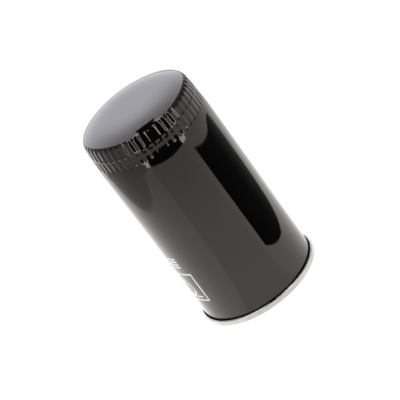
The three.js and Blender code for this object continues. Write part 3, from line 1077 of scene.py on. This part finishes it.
@dataclass
class BasePlate:
    """Thick pressed plate: eight countersunk inlet holes and an extruded, threaded boss."""

    foot_z: float = 6.8
    thickness: float = 4.0
    radius: float = 45.4
    bore: float = 11.6
    boss_radius: float = 15.5
    boss_top_z: float = 17.8
    inlets: int = 8
    inlet_radius: float = 4.0
    inlet_circle: float = 22.8
    inlet_flare: float = 0.5
    thread_pitch: float = 1.5
    thread_depth: float = 0.75
    thread_steps: int = 60  # facets of one turn
    weld_count: int = 6
    weld_circle: float = 40.5
    segments: int = 160

    def build_plate(self) -> Piece:
        """Build the plate and punch its holes and weld dimples."""
        foot, top = self.foot_z, self.foot_z + self.thickness
        outline = [
            (self.bore, foot), (self.radius, foot), (self.radius, top), (self.boss_radius, top),
            (self.boss_radius, self.boss_top_z), (self.bore, self.boss_top_z),
        ]
        plate = turned("plate_and_boss", rounded(outline, 0.6, steps=3), self.segments)
        reach, flare = self.inlet_radius, self.inlet_flare
        drill = [
            (0.0, foot - 1), (reach + flare + 1, foot - 1), (reach, foot + flare),
            (reach, top - flare), (reach + flare + 1, top + 1), (0.0, top + 1),
        ]
        dimple = [(0.0, foot + 0.45), (1.2, foot + 0.35), (2.4, foot - 0.2), (0.0, foot - 0.5)]
        cutters = []
        for tool, sides, circle, places in (
            (drill, 40, self.inlet_circle, facets(self.inlets)),
            (dimple, 28, self.weld_circle, facets(self.weld_count) + math.pi / self.weld_count),
        ):
            for place in ring(circle, places, 0.0):
                cutter = turned("punch", tool, sides, looped=False)
                cutter.data.transform(Matrix.Translation(Vector(place) * MM))
                cutters.append(cutter)
        return cut_away(plate, cutters)

    def build_thread(self) -> Piece:
        """Build the internal thread as a ridge that winds up the bore."""
        turns = (self.boss_top_z - self.foot_z - 2 * self.thread_pitch) / self.thread_pitch
        steps = int(turns * self.thread_steps)
        root, crest_half, root_half = self.bore + 0.15, 0.09, 0.48
        rings = []
        for share in np.arange(steps + 1) / steps:
            fade = min(1.0, 12 * share, 12 * (1 - share))
            height = self.foot_z + self.thread_pitch * (1 + share * turns)
            crest = self.bore - 0.02 - self.thread_depth * fade
            reach = np.array([root, crest, crest, root])
            rise = self.thread_pitch * np.array([-root_half, -crest_half, crest_half, root_half])
            rings.append(ring(reach, share * turns * TURN, height + rise))
        ends = [points.mean(0, keepdims=True) for points in (rings[0], rings[-1])]
        return joined_rings("boss_thread", [ends[0], *rings, ends[1]], False)

    def dress(self) -> None:
        """Finish the plate and its thread in steel."""
        settle(self.build_plate(), PLATE_STEEL, Slot.PLATE_STEEL, "base_plate")
        settle(sharpened(self.build_thread(), 30), PLATE_STEEL, Slot.PLATE_STEEL)


# ------------------------------------------------------------------ anti-drain valve
@dataclass
class AntiDrainValve:
    """Silicone valve: a thick collar clamped on the boss, and a thin lip over the inlets."""

    foot_z: float = 11.1
    collar_inner: float = 15.8
    collar_outer: float = 18.3
    collar_top_z: float = 18.6
    lip_inner: float = 18.4
    lip_outer: float = 30.5
    lip_rise: float = 3.0
    lip_sheet: float = 0.9
    rib_rise: float = 0.12
    ribs: tuple[int, ...] = (8, 14, 20)  # steps of the lip that carry a fine rib
    segments: int = 144

    def build_collar(self) -> Piece:
        """Build the collar with two sealing beads and a relief groove outside."""
        low, high, outer = self.foot_z, self.collar_top_z, self.collar_outer
        outline = [
            (self.collar_inner, low), (outer, low), (outer, low + 2.4),
            (outer - 0.5, low + 3.0), (outer - 0.5, low + 4.0), (outer, low + 4.6),
            (outer, high), (outer - 0.9, high), (outer - 1.2, high - 0.35),
            (self.collar_inner, high - 0.35),
        ]
        return turned("valve_collar", rounded(outline, 0.45, steps=3), self.segments)

    def build_lip(self) -> Piece:
        """Build the lip: it leaves the collar flat, falls in a soft curve, ends in a bead."""
        half = self.lip_sheet / 2
        top, low = self.foot_z + self.lip_rise + half, self.foot_z + half
        span = self.lip_outer - self.lip_inner - 0.1
        share = np.linspace(0, 1, 26)
        eased = share * share * (3 - 2 * share)
        line = np.stack([self.lip_inner + span * share, top + (low - top) * eased], 1)
        lower, upper = side_line(line, -half), side_line(line, half)
        for rib in self.ribs:
            upper[rib] = (upper[rib][0], upper[rib][1] + self.rib_rise)
        bead = [(self.lip_outer, low - 0.25), (self.lip_outer, low + 0.3)]
        return turned("valve_lip", lower[:-1] + bead + upper[::-1], self.segments)

    def dress(self) -> None:
        """Finish both; the lip rides on no body and its transform is baked into its mesh."""
        rubber, slot = VALVE_RUBBER, Slot.VALVE_RUBBER
        settle(crisp(self.build_collar()), rubber, slot, "anti_drain_collar")
        lip = settle(self.build_lip(), rubber, slot, "anti_drain_lip", body=None)
        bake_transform(lip)


# ------------------------------------------------------------------ filter element
@dataclass
class EndCap:
    """Pressed tinplate cap of the element: rim, two stiffening rings, a turned-in neck."""

    name: str
    node: str
    face_z: float
    inward: int  # +1 where the paper lies above the cap, -1 where it lies below
    sheet: float = 0.6
    neck: float = 15.9
    rim: float = 41.9
    rim_height: float = 6.0
    neck_height: float = 5.0
    rings: tuple[float, ...] = (24.0, 34.0)
    ring_width: float = 2.6
    ring_rise: float = 0.3
    segments: int = 160

    def build(self) -> Piece:
        """Build the cap from its sheet line."""
        half, reach = self.sheet / 2, self.ring_width / 2
        line = [(self.neck, self.neck_height), (self.neck, half)]
        for radius in self.rings:
            for share, rise in ((-1, 0), (-0.5, 1), (0.5, 1), (1, 0)):
                line.append((radius + reach * share, half + self.ring_rise * rise))
        line += [(self.rim, half), (self.rim, self.rim_height)]
        middle = rounded(line, 0.8, closed=False)
        pressed = [(r, self.face_z + self.inward * z) for r, z in middle]
        return turned(self.name, sheet(pressed, self.sheet), self.segments)

    def dress(self) -> None:
        """Finish the cap in tinplate."""
        settle(crisp(self.build()), CAP_TINPLATE, Slot.CAP_TINPLATE, self.node)


@dataclass
class Potting:
    """Plastisol poured into a cap: it wets the pleats and creeps up both walls."""

    name: str
    node: str
    face_z: float
    inward: int
    inner: float = 17.5
    outer: float = 41.3
    depth: float = 1.2
    pleats: int = 40
    segments: int = 320

    def build(self) -> Piece:
        """Build the ring with a wavy, creeping surface."""
        turn = facets(self.segments)
        wave = np.cos(self.pleats * turn)
        inner, outer, depth = self.inner, self.outer, self.depth
        section = [
            (inner, 0.0, 0.0), (outer, 0.0, 0.0), (outer, depth, 0.0),
            (outer - 0.5, depth - 0.2, 0.08), (outer - 1.6, depth - 0.38, 0.14),
            (outer - 6, depth - 0.42, 0.1), (inner + 6, depth - 0.42, -0.1),
            (inner + 1.2, depth - 0.36, -0.1), (inner + 0.4, depth - 0.15, 0.0),
            (inner, depth, 0.0),
        ]
        rings = [
            ring(radius, turn, self.face_z + self.inward * (height + lift * wave))
            for radius, height, lift in section
        ]
        return joined_rings(self.name, rings, True)

    def dress(self) -> None:
        """Finish the potting in plastisol."""
        settle(crisp(self.build()), PLASTISOL, Slot.POTTING, self.node)


@dataclass
class PleatedPaper:
    """Forty pleats of embossed paper with soft folds, and the clip over its two ends."""

    pleats: int = 40
    root: float = 17.5
    tip: float = 41.3
    clipped_tip: float = 40.5
    sheet: float = 0.5
    foot_z: float = 21.3
    top_z: float = 155.28
    fold: float = 1.5
    rows: int = 28
    clip_depth: float = 6.0
    clip_half_width: float = 1.7
    clip_sheet: float = 0.5
    clip_margin: float = 2.0
    crimp_pitch: float = 7.0
    crimp: float = 0.16
    crimp_steps: int = 8
    lean: float = 0.0022  # radians that the pleats lean off true

    def build(self) -> Piece:
        """Build the pleats as one closed sheet, very slightly wavy along its height."""
        half = self.sheet / 2
        corners = []
        for index in range(2 * self.pleats):
            tip = self.clipped_tip if index == 0 else self.tip
            reach = self.root + half if index % 2 else tip - half
            turn = index * math.pi / self.pleats
            corners.append((reach * math.cos(turn), reach * math.sin(turn)))
        loop = rounded(corners, self.fold)
        wrapped = [loop[-1], *loop, loop[0]]
        heights = np.linspace(self.foot_z, self.top_z, self.rows)
        rings = []
        for side, order in ((-half, 1), (half, -1)):
            face = np.array(side_line(wrapped, side)[1:-1])
            turn = np.arctan2(face[:, 1], face[:, 0])
            for height in heights[::order]:
                sway = np.sin(3 * turn + height * 0.05) * np.abs(np.sin(turn / 2))
                lean = self.lean * math.sin(height * 0.19) * sway
                rings.append(swung(placed(face, height), lean))
        return joined_rings("pleated_pack", rings, True)

    def build_clip(self) -> Piece:
        """Build the folded strip with its crimp marks."""
        wall = self.clip_half_width - self.clip_sheet / 2
        back, edge = self.tip - self.clip_sheet / 2, self.tip - self.clip_depth
        line = [(edge, -wall), (back, -wall), (back, wall), (edge, wall)]
        section = np.array(sheet(rounded(line, 0.8, closed=False, steps=3), self.clip_sheet))
        low, high = self.foot_z + self.clip_margin, self.top_z - self.clip_margin
        last = int((high - low) / self.crimp_pitch) * self.crimp_steps
        loops = []
        for step in range(last + 1):
            wave = math.cos(TURN * step / self.crimp_steps)
            pressed = self.crimp * max(0.0, wave) * (0 < step < last)
            squeeze = (1, 1 - pressed / self.clip_half_width)
            loops.append(placed(section * squeeze, low + (high - low) * step / last))
        return extruded("pleat_clip", loops)

    def dress(self) -> None:
        """Finish the paper and its clip."""
        settle(self.build(), PAPER, Slot.FILTER_PAPER, "pleated_paper")
        clip = sharpened(self.build_clip(), 40)
        settle(clip, CLIP_STEEL, Slot.CLIP_STEEL, "paper_seam_clip")


@dataclass
class CentreTube:
    """Rolled tube with staggered punched holes and a lock seam inside."""

    inner: float = 16.5
    outer: float = 17.2
    foot_z: float = 19.8
    top_z: float = 156.78
    hole_radius: float = 2.4
    row_pitch: float = 12.0
    per_row: int = 4
    plain_end: float = 24.0
    seam_turn: float = math.radians(22.5)
    segments: int = 96

    def build(self) -> Piece:
        """Build the tube and punch its holes."""
        outline = [
            (self.inner, self.foot_z), (self.outer, self.foot_z),
            (self.outer, self.top_z), (self.inner, self.top_z),
        ]
        tube = turned("perforated_tube", rounded(outline, 0.2, steps=2), self.segments)
        steps = ((self.inner - 3, 1.0), (self.outer - 0.3, 1.0), (self.outer + 2.4, 1.9))
        rim = facets(28)
        punches = []
        for row in range(int((self.top_z - self.plain_end - self.foot_z) / self.row_pitch)):
            height = self.foot_z + self.row_pitch * (row + 1)
            for index in range(self.per_row):
                loops = []
                for reach, flare in steps:
                    across, up = (self.hole_radius * flare * f(rim) for f in (np.cos, np.sin))
                    loops.append(np.stack([np.full(len(rim), reach), across, height + up], 1))
                way = TURN * (index + (row % 2) / 2) / self.per_row
                punches.append(extruded("punch", [swung(loop, way) for loop in loops]))
        return cut_away(tube, punches)

    def build_seam(self) -> Piece:
        """Build the folded lock seam on the tube's inside."""
        wall, fold = self.inner + 0.1, self.inner - 0.35
        section = rounded([(wall, -1.4), (fold, -1.1), (fold, 1.1), (wall, 1.4)], 0.3, steps=2)
        heights = np.linspace(self.foot_z + 6, self.top_z - 8, 12)
        loops = [swung(placed(section, height), self.seam_turn) for height in heights]
        return extruded("tube_lock_seam", loops)

    def dress(self) -> None:
        """Finish the tube and its seam in steel."""
        settle(self.build(), TUBE_STEEL, Slot.TUBE_STEEL, "centre_tube")
        settle(sharpened(self.build_seam(), 40), TUBE_STEEL, Slot.TUBE_STEEL)


# ------------------------------------------------------------------ springs and bypass valve
@dataclass
class BypassValve:
    """Pressed seat and cage, rubber seal, dished disc on a guide pin, and spring."""

    seat_z: float = 157.98  # the seat's flange lies this high on the upper cap
    sheet: float = 0.8
    flange: float = 19.0
    port: float = 7.5
    skirt: float = 15.3
    skirt_height: float = 4.0
    cage: float = 14.2
    cage_top_z: float = 157.68
    cage_foot_z: float = 140.68
    windows: int = 3
    window_width: float = 12.0
    window_margin: float = 3.0
    disc: float = 10.5
    seal_hole: float = 4.0
    seal_z: float = 156.68
    seal_sheet: float = 1.0
    disc_z: float = 155.18
    disc_sheet: float = 1.2
    pin: float = 1.6
    pin_head: float = 3.4
    pin_foot_z: float = 138.68
    pin_top_z: float = 154.88
    stroke: float = 4.0
    spring_radius: float = 6.0
    wire: float = 0.5
    turns: float = 4.0
    gap: float = 0.3  # between the spring and what it rests on
    segments: int = 96

    def build_seat(self) -> Piece:
        """Build the seat with its sealing bead round the port."""
        low, high, port = self.seat_z, self.seat_z + self.sheet, self.port
        foot, inside = low - self.skirt_height, self.skirt - self.sheet
        outline = [
            (port, low), (port + 0.8, low), (port + 1.1, low - 0.18),
            (port + 1.7, low - 0.18), (port + 2.0, low), (inside, low), (inside, foot),
            (self.skirt, foot), (self.skirt, low), (self.flange, low), (self.flange, high),
            (port, high),
        ]
        return turned("valve_seat", rounded(outline, 0.3, steps=3), self.segments)

    def build_cage(self) -> Piece:
        """Build the cage and punch its windows with round corners."""
        half = self.sheet / 2
        foot, wall = self.cage_foot_z + half, self.cage - half
        line = [
            (self.pin + 0.3, foot), (self.spring_radius + 2.2, foot), (wall, foot),
            (wall, self.cage_top_z),
        ]
        middle = rounded(line, 1.4, closed=False, steps=5)
        cup = turned("valve_cage", sheet(middle, self.sheet), self.segments)
        low, high = self.cage_foot_z + self.window_margin, self.cage_top_z - self.window_margin
        side = self.window_width / 2
        hole = np.array(rounded([(-side, low), (side, low), (side, high), (-side, high)], 2.4))
        loops = [
            np.column_stack([np.full(len(hole), reach), hole])
            for reach in (self.cage - 7.5, self.cage + 3)
        ]
        ways = facets(self.windows) + math.pi / self.windows
        return cut_away(cup, [extruded("window", [swung(l, way) for l in loops]) for way in ways])

    def build_seal(self) -> Piece:
        """Build the flat rubber seal with its rounded rims."""
        low, high, hole = self.seal_z, self.seal_z + self.seal_sheet, self.seal_hole
        outline = [(hole, low), (self.disc, low), (self.disc, high), (hole, high)]
        return turned("valve_seal", rounded(outline, 0.3, steps=3), self.segments)

    def build_disc(self) -> Piece:
        """Build the disc with a pressed ring that stiffens it."""
        low, high = self.disc_z, self.disc_z + self.disc_sheet
        outline = [
            (0.0, low), (5.2, low), (5.6, low + 0.25), (7.0, low + 0.25), (7.4, low),
            (self.disc, low), (self.disc, high), (8.2, high), (7.8, high - 0.25),
            (5.0, high - 0.25), (4.6, high), (0.0, high),
        ]
        soft = rounded(outline, 0.25, closed=False, steps=2)
        return turned("valve_disc", soft, self.segments, looped=False)

    def build_pin(self) -> Piece:
        """Build the headed guide pin with a chamfered foot."""
        foot, top, pin = self.pin_foot_z, self.pin_top_z, self.pin
        outline = [
            (0.0, foot), (pin - 0.5, foot), (pin, foot + 0.5), (pin, top - 1.3),
            (pin + 0.3, top - 1.0), (self.pin_head, top - 1.0), (self.pin_head, top), (0.0, top),
        ]
        soft = rounded(outline, 0.2, closed=False, steps=2)
        return turned("guide_pin", soft, self.segments // 2, looped=False)

    def dress(self) -> None:
        """Build and finish every piece; seal, disc and pin ride on the valve."""
        steel, cap_slot = VALVE_STEEL, Slot.CAP_TINPLATE
        settle(self.build_seat(), steel, cap_slot, "bypass_seat")
        settle(self.build_cage(), steel, cap_slot, "bypass_cage")
        seal = crisp(self.build_seal())
        settle(seal, VALVE_RUBBER, Slot.VALVE_RUBBER, "bypass_seal", body=Body.VALVE)
        moving = ((self.build_disc(), "bypass_disc"), (self.build_pin(), "bypass_guide_pin"))
        for piece, node in moving:
            settle(sharpened(piece, 50), steel, cap_slot, node, body=Body.VALVE)
        self.dress_spring()

    def dress_spring(self) -> None:
        """Build and finish the spring between the cage and the disc, with a mesh of its own."""
        foot_z, top_z = self.cage_foot_z + self.sheet + self.gap, self.disc_z - self.gap
        ends = ((self.spring_radius, foot_z), (self.spring_radius, top_z))
        spring = swept("valve_spring", coil_path(*ends, self.wire, self.turns), self.wire, 12)
        settle(spring, SPRING_WIRE, Slot.SPRING_STEEL, "bypass_spring")
        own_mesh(spring)


@dataclass
class ElementSpring:
    """Conical spring between the upper cap and the dome, which presses the element down."""

    foot: Point = (23.0, 157.98)  # coil radius and height
    top: Point = (15.0, 175.98)
    wire: float = 1.1
    turns: float = 3.0

    def dress(self) -> None:
        """Build and finish the spring."""
        path = coil_path(self.foot, self.top, self.wire, self.turns)
        spring = swept("pressure_spring", path, self.wire, 16)
        settle(spring, SPRING_WIRE, Slot.SPRING_STEEL, "element_spring")


# ------------------------------------------------------------------ studio
@dataclass
class Studio:
    """Pale floor and white room; soft boxes and dark cards that only gloss picks up."""

    floor_half: float = 8.0
    floor_glow: float = 1.04
    room_glow: float = 1.05
    box_glow: float = 5.0
    flag_from: Point = (0.0742, -0.0923)
    flag_to: Point = (0.1016, 0.0226)
    flag_end: float = 1.03  # share of the way from the one to the other
    arch_radius: float = 0.42
    arch_half_widths: Point = (0.262, 0.055)  # in front and overhead
    arch_span: Point = (-19.5, 108.5)  # elevations, degrees
    box_end: float = math.radians(100)
    box_width: float = 0.12
    panel_radius: float = 1.2
    panel_half_width: float = 0.7
    curtain_x: float = 1.15
    middle: Vector = field(default_factory=lambda: Vector((0, 0, 0.15)))
    # Light of the tabletop by direction, degrees from the front towards +X, and its radiance
    table_light: tuple[Point, ...] = (
        (-180, 1.9), (-150, 2.45), (-120, 2.35), (-100, 2.0), (-80, 1.75), (-55, 1.62),
        (-37, 1.6), (-31, 1.32), (0, 1.33), (31, 1.34), (38, 1.5), (60, 1.42), (85, 1.5),
        (140, 1.5), (160, 0.95), (180, 1.9),
    )
    # Share of that light left at a distance in metres
    table_fall: tuple[Point, ...] = (
        (0.05, 1.08), (0.12, 1.05), (0.22, 0.95), (0.34, 0.72), (0.7, 0.7),
    )
    # Share along the side flag, and its lower and upper edge in metres
    flag_edge: tuple[tuple[float, float, float], ...] = (
        (0.0, 0.005, 0.106), (0.3, 0.007, 0.110), (0.55, 0.010, 0.114), (0.75, 0.018, 0.119),
        (0.9, 0.030, 0.120), (0.98, 0.045, 0.116), (1.03, 0.065, 0.094),
    )
    # Place in metres and radiance, along Y for the flag and along Z for the others
    flag_light: tuple[Point, ...] = ((-0.092, 0.0), (-0.03, 0.03), (0.0, 0.12), (0.026, 0.3))
    panel_light: tuple[Point, ...] = (
        (0.15, 2.2), (0.45, 2.6), (0.8, 2.85), (1.1, 2.7), (1.4, 2.4),
    )
    wall_light: tuple[Point, ...] = ((0.0, 1.5), (0.006, 0.9), (0.03, 0.74), (0.3, 0.62))

    def glow(
        self, name: str, strength: float | Callable[[Tree], Socket], colour: Colour = grey(1.0)
    ) -> bpy.types.Material:
        """Make a lit surface.

        Args:
            name: Name of the material.
            strength: Its radiance, or what works it out in the node tree.
            colour: Its linear colour.

        Returns:
            The material.
        """
        made, tree = blank_material(name)
        level = strength(tree) if callable(strength) else strength
        lit = add_node(tree, "ShaderNodeEmission", inputs={"Color": colour, "Strength": level})
        add_node(tree, "ShaderNodeOutputMaterial", inputs={"Surface": lit.outputs["Emission"]})
        return made

    def graded(self, tree: Tree, value: Socket, stops: Sequence[Point]) -> Socket:
        """Read a light level off a row of stops.

        Args:
            tree: Node tree.
            value: Where the level is read.
            stops: Place on the scale and level, in rising order.

        Returns:
            The level as a value socket.
        """
        low, high = stops[0][0], stops[-1][0]
        top = max(level for _, level in stops)
        ends = {"Value": value, "From Min": low, "From Max": high}
        place = add_node(tree, "ShaderNodeMapRange", inputs=ends).outputs["Result"]
        ramp = add_node(tree, "ShaderNodeValToRGB", inputs={"Fac": place})
        elements = ramp.color_ramp.elements
        while len(elements) < len(stops):
            elements.new(1.0)
        for element, (at, level) in zip(elements, stops):
            element.position = (at - low) / (high - low)
            element.color = grey(level / top)
        inputs = {0: ramp.outputs["Color"], 1: top}
        return add_node(tree, "ShaderNodeMath", {"operation": "MULTIPLY"}, inputs).outputs[0]

    def along(self, axis: str, stops: Sequence[Point]) -> Callable[[Tree], Socket]:
        """Return what works out a light level that changes along one axis."""

        def level(tree: Tree) -> Socket:
            """Read the level in a node tree."""
            place = {"Vector": object_place(tree)}
            split = add_node(tree, "ShaderNodeSeparateXYZ", inputs=place)
            return self.graded(tree, split.outputs[axis], stops)

        return level

    def table_level(self, tree: Tree) -> Socket:
        """Work out the tabletop's light: it changes with direction and falls with distance."""
        place = object_place(tree)
        x, y, _ = add_node(tree, "ShaderNodeSeparateXYZ", inputs={"Vector": place}).outputs
        back = add_node(tree, "ShaderNodeMath", {"operation": "MULTIPLY"}, {0: y, 1: -1.0})
        turn = add_node(
            tree, "ShaderNodeMath", {"operation": "ARCTAN2"}, {0: x, 1: back.outputs[0]}
        )
        reach = add_node(tree, "ShaderNodeVectorMath", {"operation": "LENGTH"}, {0: place})
        stops = [(math.radians(at), level) for at, level in self.table_light]
        by_turn = self.graded(tree, turn.outputs[0], stops)
        by_reach = self.graded(tree, reach.outputs["Value"], self.table_fall)
        inputs = {0: by_turn, 1: by_reach}
        return add_node(tree, "ShaderNodeMath", {"operation": "MULTIPLY"}, inputs).outputs[0]

    def card(
        self,
        name: str,
        finish: bpy.types.Material,
        along: Sequence[float],
        across: Sequence[float],
        point: Callable[[float, float], Vector],
        gloss_only: bool = True,
    ) -> Piece:
        """Stand a card, which only gloss picks up unless it is said otherwise.

        Args:
            name: Name of the card.
            finish: Its material.
            along: Measures of its rows.
            across: Measures within a row.
            point: Place in metres from both measures.
            gloss_only: Whether it shows in gloss and nowhere else.

        Returns:
            The card.
        """
        wide = len(across)
        faces = [
            (low + c, low + c + 1, low + wide + c + 1, low + wide + c)
            for low in range(0, (len(along) - 1) * wide, wide)
            for c in range(wide - 1)
        ]
        mesh = bpy.data.meshes.new(name)
        mesh.from_pydata([tuple(point(a, b)) for a in along for b in across], [], faces)
        mesh.materials.append(finish)
        made = shown(name, mesh)
        if gloss_only:
            made.visible_camera = made.visible_shadow = False
            made.visible_diffuse = made.visible_transmission = False
        return made

    def arch_point(self, elevation: float, side: float, beyond: float = 0.0) -> Vector:
        """Point on the dark arch over the filter, which narrows overhead.

        Args:
            elevation: Angle above the front, in radians.
            side: Share of the half width, negative to the left.
            beyond: Distance past the arch's edge, in metres.

        Returns:
            The point.
        """
        over = min(1.0, max(0.0, math.degrees(elevation) / 95))
        front, top = self.arch_half_widths
        across = side * (front * (1 - over) + top * over + beyond)
        way = Vector((0, -math.cos(elevation), math.sin(elevation)))
        return self.middle + self.arch_radius * way + Vector((across, 0, 0))

    def build_room(self) -> None:
        """Build the white room, the floor and the tabletop that gloss sees."""
        scene = bpy.context.scene
        scene.view_settings.view_transform = "Standard"
        world = bpy.data.worlds.new("white_room")
        world.use_nodes = True
        tree = world.node_tree
        tree.nodes.clear()
        lit = {"Color": grey(1.0), "Strength": self.room_glow}
        sky = add_node(tree, "ShaderNodeBackground", inputs=lit).outputs["Background"]
        add_node(tree, "ShaderNodeOutputWorld", inputs={"Surface": sky})
        scene.world = world

        ends = (-self.floor_half, self.floor_half)
        pale = self.glow("pale_floor", self.floor_glow)
        floor = self.card("studio_floor", pale, ends, ends, lambda y, x: Vector((x, y, 0)), False)
        floor.visible_glossy = False
        table = self.glow("lit_tabletop", self.table_level)
        self.card("lit_table", table, ends, ends, lambda y, x: Vector((x, y, -0.0002)))

    def flag_point(self, level: float, share: float) -> Vector:
        """Point on the side flag by its share of the height and of the length."""
        start, end = Vector((*self.flag_from, 0.0)), Vector((*self.flag_to, 0.0))
        known = np.array(self.flag_edge)
        low, high = (np.interp(share, known[:, 0], known[:, k]) for k in (1, 2))
        return start + (end - start) * share + Vector((0, 0, low + (high - low) * level))

    def panel_point(self, tilt: float, side: float) -> Vector:
        """Point on the panel that curves up and over behind the filter."""
        rise = Vector((0, math.cos(tilt), math.sin(tilt))) * self.panel_radius
        return self.middle + rise + Vector((self.panel_half_width * side, 0, 0))

    def build_cards(self) -> None:
        """Build the cards and soft boxes round the filter."""
        hazy = self.glow("hazy_velvet", self.along("Y", self.flag_light))
        shares = np.linspace(0, self.flag_end, 30)
        self.card("side_flag", hazy, np.linspace(0, 1, 12), shares, self.flag_point)

        elevations = np.radians(np.linspace(*self.arch_span, 46))
        sides = np.linspace(-1, 1, 9)
        black = self.glow("black_velvet", 0.0, grey(0.0))
        self.card("front_arch", black, elevations, sides, self.arch_point)
        box = self.glow("soft_box", self.box_glow, (1.0, 0.98, 0.98, 1.0))
        lower = elevations[elevations < self.box_end]
        for name, side in (("left_box", -1), ("right_box", 1)):

            def box_point(elevation: float, share: float, side: int = side) -> Vector:
                """Point on a soft box beside the arch, narrower overhead."""
                reach = self.box_width * (1 - 0.45 * max(0.0, elevation))
                return self.arch_point(elevation, side, reach * share)

            self.card(name, box, lower, (0.0, 0.5, 1.0), box_point)

        cool = (0.885, 0.9, 1.0, 1.0)
        bright = self.glow("bright_panel", self.along("Z", self.panel_light), cool)
        tilts = np.radians(np.linspace(3, 112, 24))
        self.card("back_panel", bright, tilts, sides, self.panel_point)

        dusk = self.glow("dusky_curtain", 0.3)
        for name, x in (("left_curtain", -self.curtain_x), ("right_curtain", self.curtain_x)):
            heights, places = (0.17, 1.0, 1.9), (-1.5, 0.0, 1.5)
            self.card(name, dusk, heights, places, lambda z, y, x=x: Vector((x, y, z)))

        wall = self.glow("grey_wall", self.along("Z", self.wall_light))
        heights, places = np.linspace(0.0, 0.3, 7), np.linspace(-0.34, 0.2, 9)
        lean = 0.02 / 0.3
        self.card(
            "left_wall", wall, heights, places, lambda z, y: Vector((-0.275 - lean * z, y, z))
        )

    def build_key(self) -> None:
        """Build the soft key light that shapes the matt surfaces."""
        light = bpy.data.lights.new("soft_key", "AREA")
        light.shape, light.size, light.energy = "DISK", 0.8, 4.0
        key = shown("soft_key", light)
        key.location = (-0.7, -0.3, 1.1)
        aim = self.middle - Vector(key.location)
        key.rotation_euler = aim.to_track_quat("-Z", "Y").to_euler()
        key.visible_glossy = False

    def build(self) -> None:
        """Build the whole studio."""
        self.build_room()
        self.build_cards()
        self.build_key()


@dataclass
class Viewpoint:
    """Camera in front of the filter, looking down at it, turned about its line of sight."""

    elevation: float = math.radians(25.33)
    roll: float = math.radians(-36.46)
    lens: float = 224.6
    distance: float = 1.827
    aim_z: float = 0.0834

    def build(self) -> None:
        """Build the camera and make it the scene's."""
        data = bpy.data.cameras.new("front_camera")
        data.lens, data.sensor_width = self.lens, 36.0
        data.clip_start, data.clip_end = 0.05, 50.0
        made = shown("front_camera", data)
        back = Vector((0, -math.cos(self.elevation), math.sin(self.elevation)))
        side = Vector((1, 0, 0))
        up = back.cross(side)
        cos, sin = math.cos(self.roll), math.sin(self.roll)
        axes = (cos * side + sin * up, cos * up - sin * side, back)
        matrix = Matrix(axes).transposed().to_4x4()
        matrix.translation = Vector((0, 0, self.aim_z)) + back * self.distance
        made.matrix_world = matrix
        bpy.context.scene.camera = made


def main() -> None:
    """Build every sub-assembly in order, then the studio."""
    logging.basicConfig(level=logging.INFO, format="%(name)s: %(message)s")
    Viewpoint().build()
    for assembly in (
        Can(),
        CanPrint(),
        SeamingLid(),
        Gasket(),
        BasePlate(),
        AntiDrainValve(),
        EndCap("lower_cap", "lower_end_cap", 18.9, 1),
        EndCap("upper_cap", "upper_end_cap", 157.68, -1),
        Potting("lower_plastisol", "lower_potting", 19.8, 1),
        Potting("upper_plastisol", "upper_potting", 156.78, -1),
        PleatedPaper(),
        CentreTube(),
        BypassValve(),
        ElementSpring(),
    ):
        assembly.dress()
        log.info("%s is in place", type(assembly).__name__)

    Studio().build()


if __name__ == "__main__":
    main()
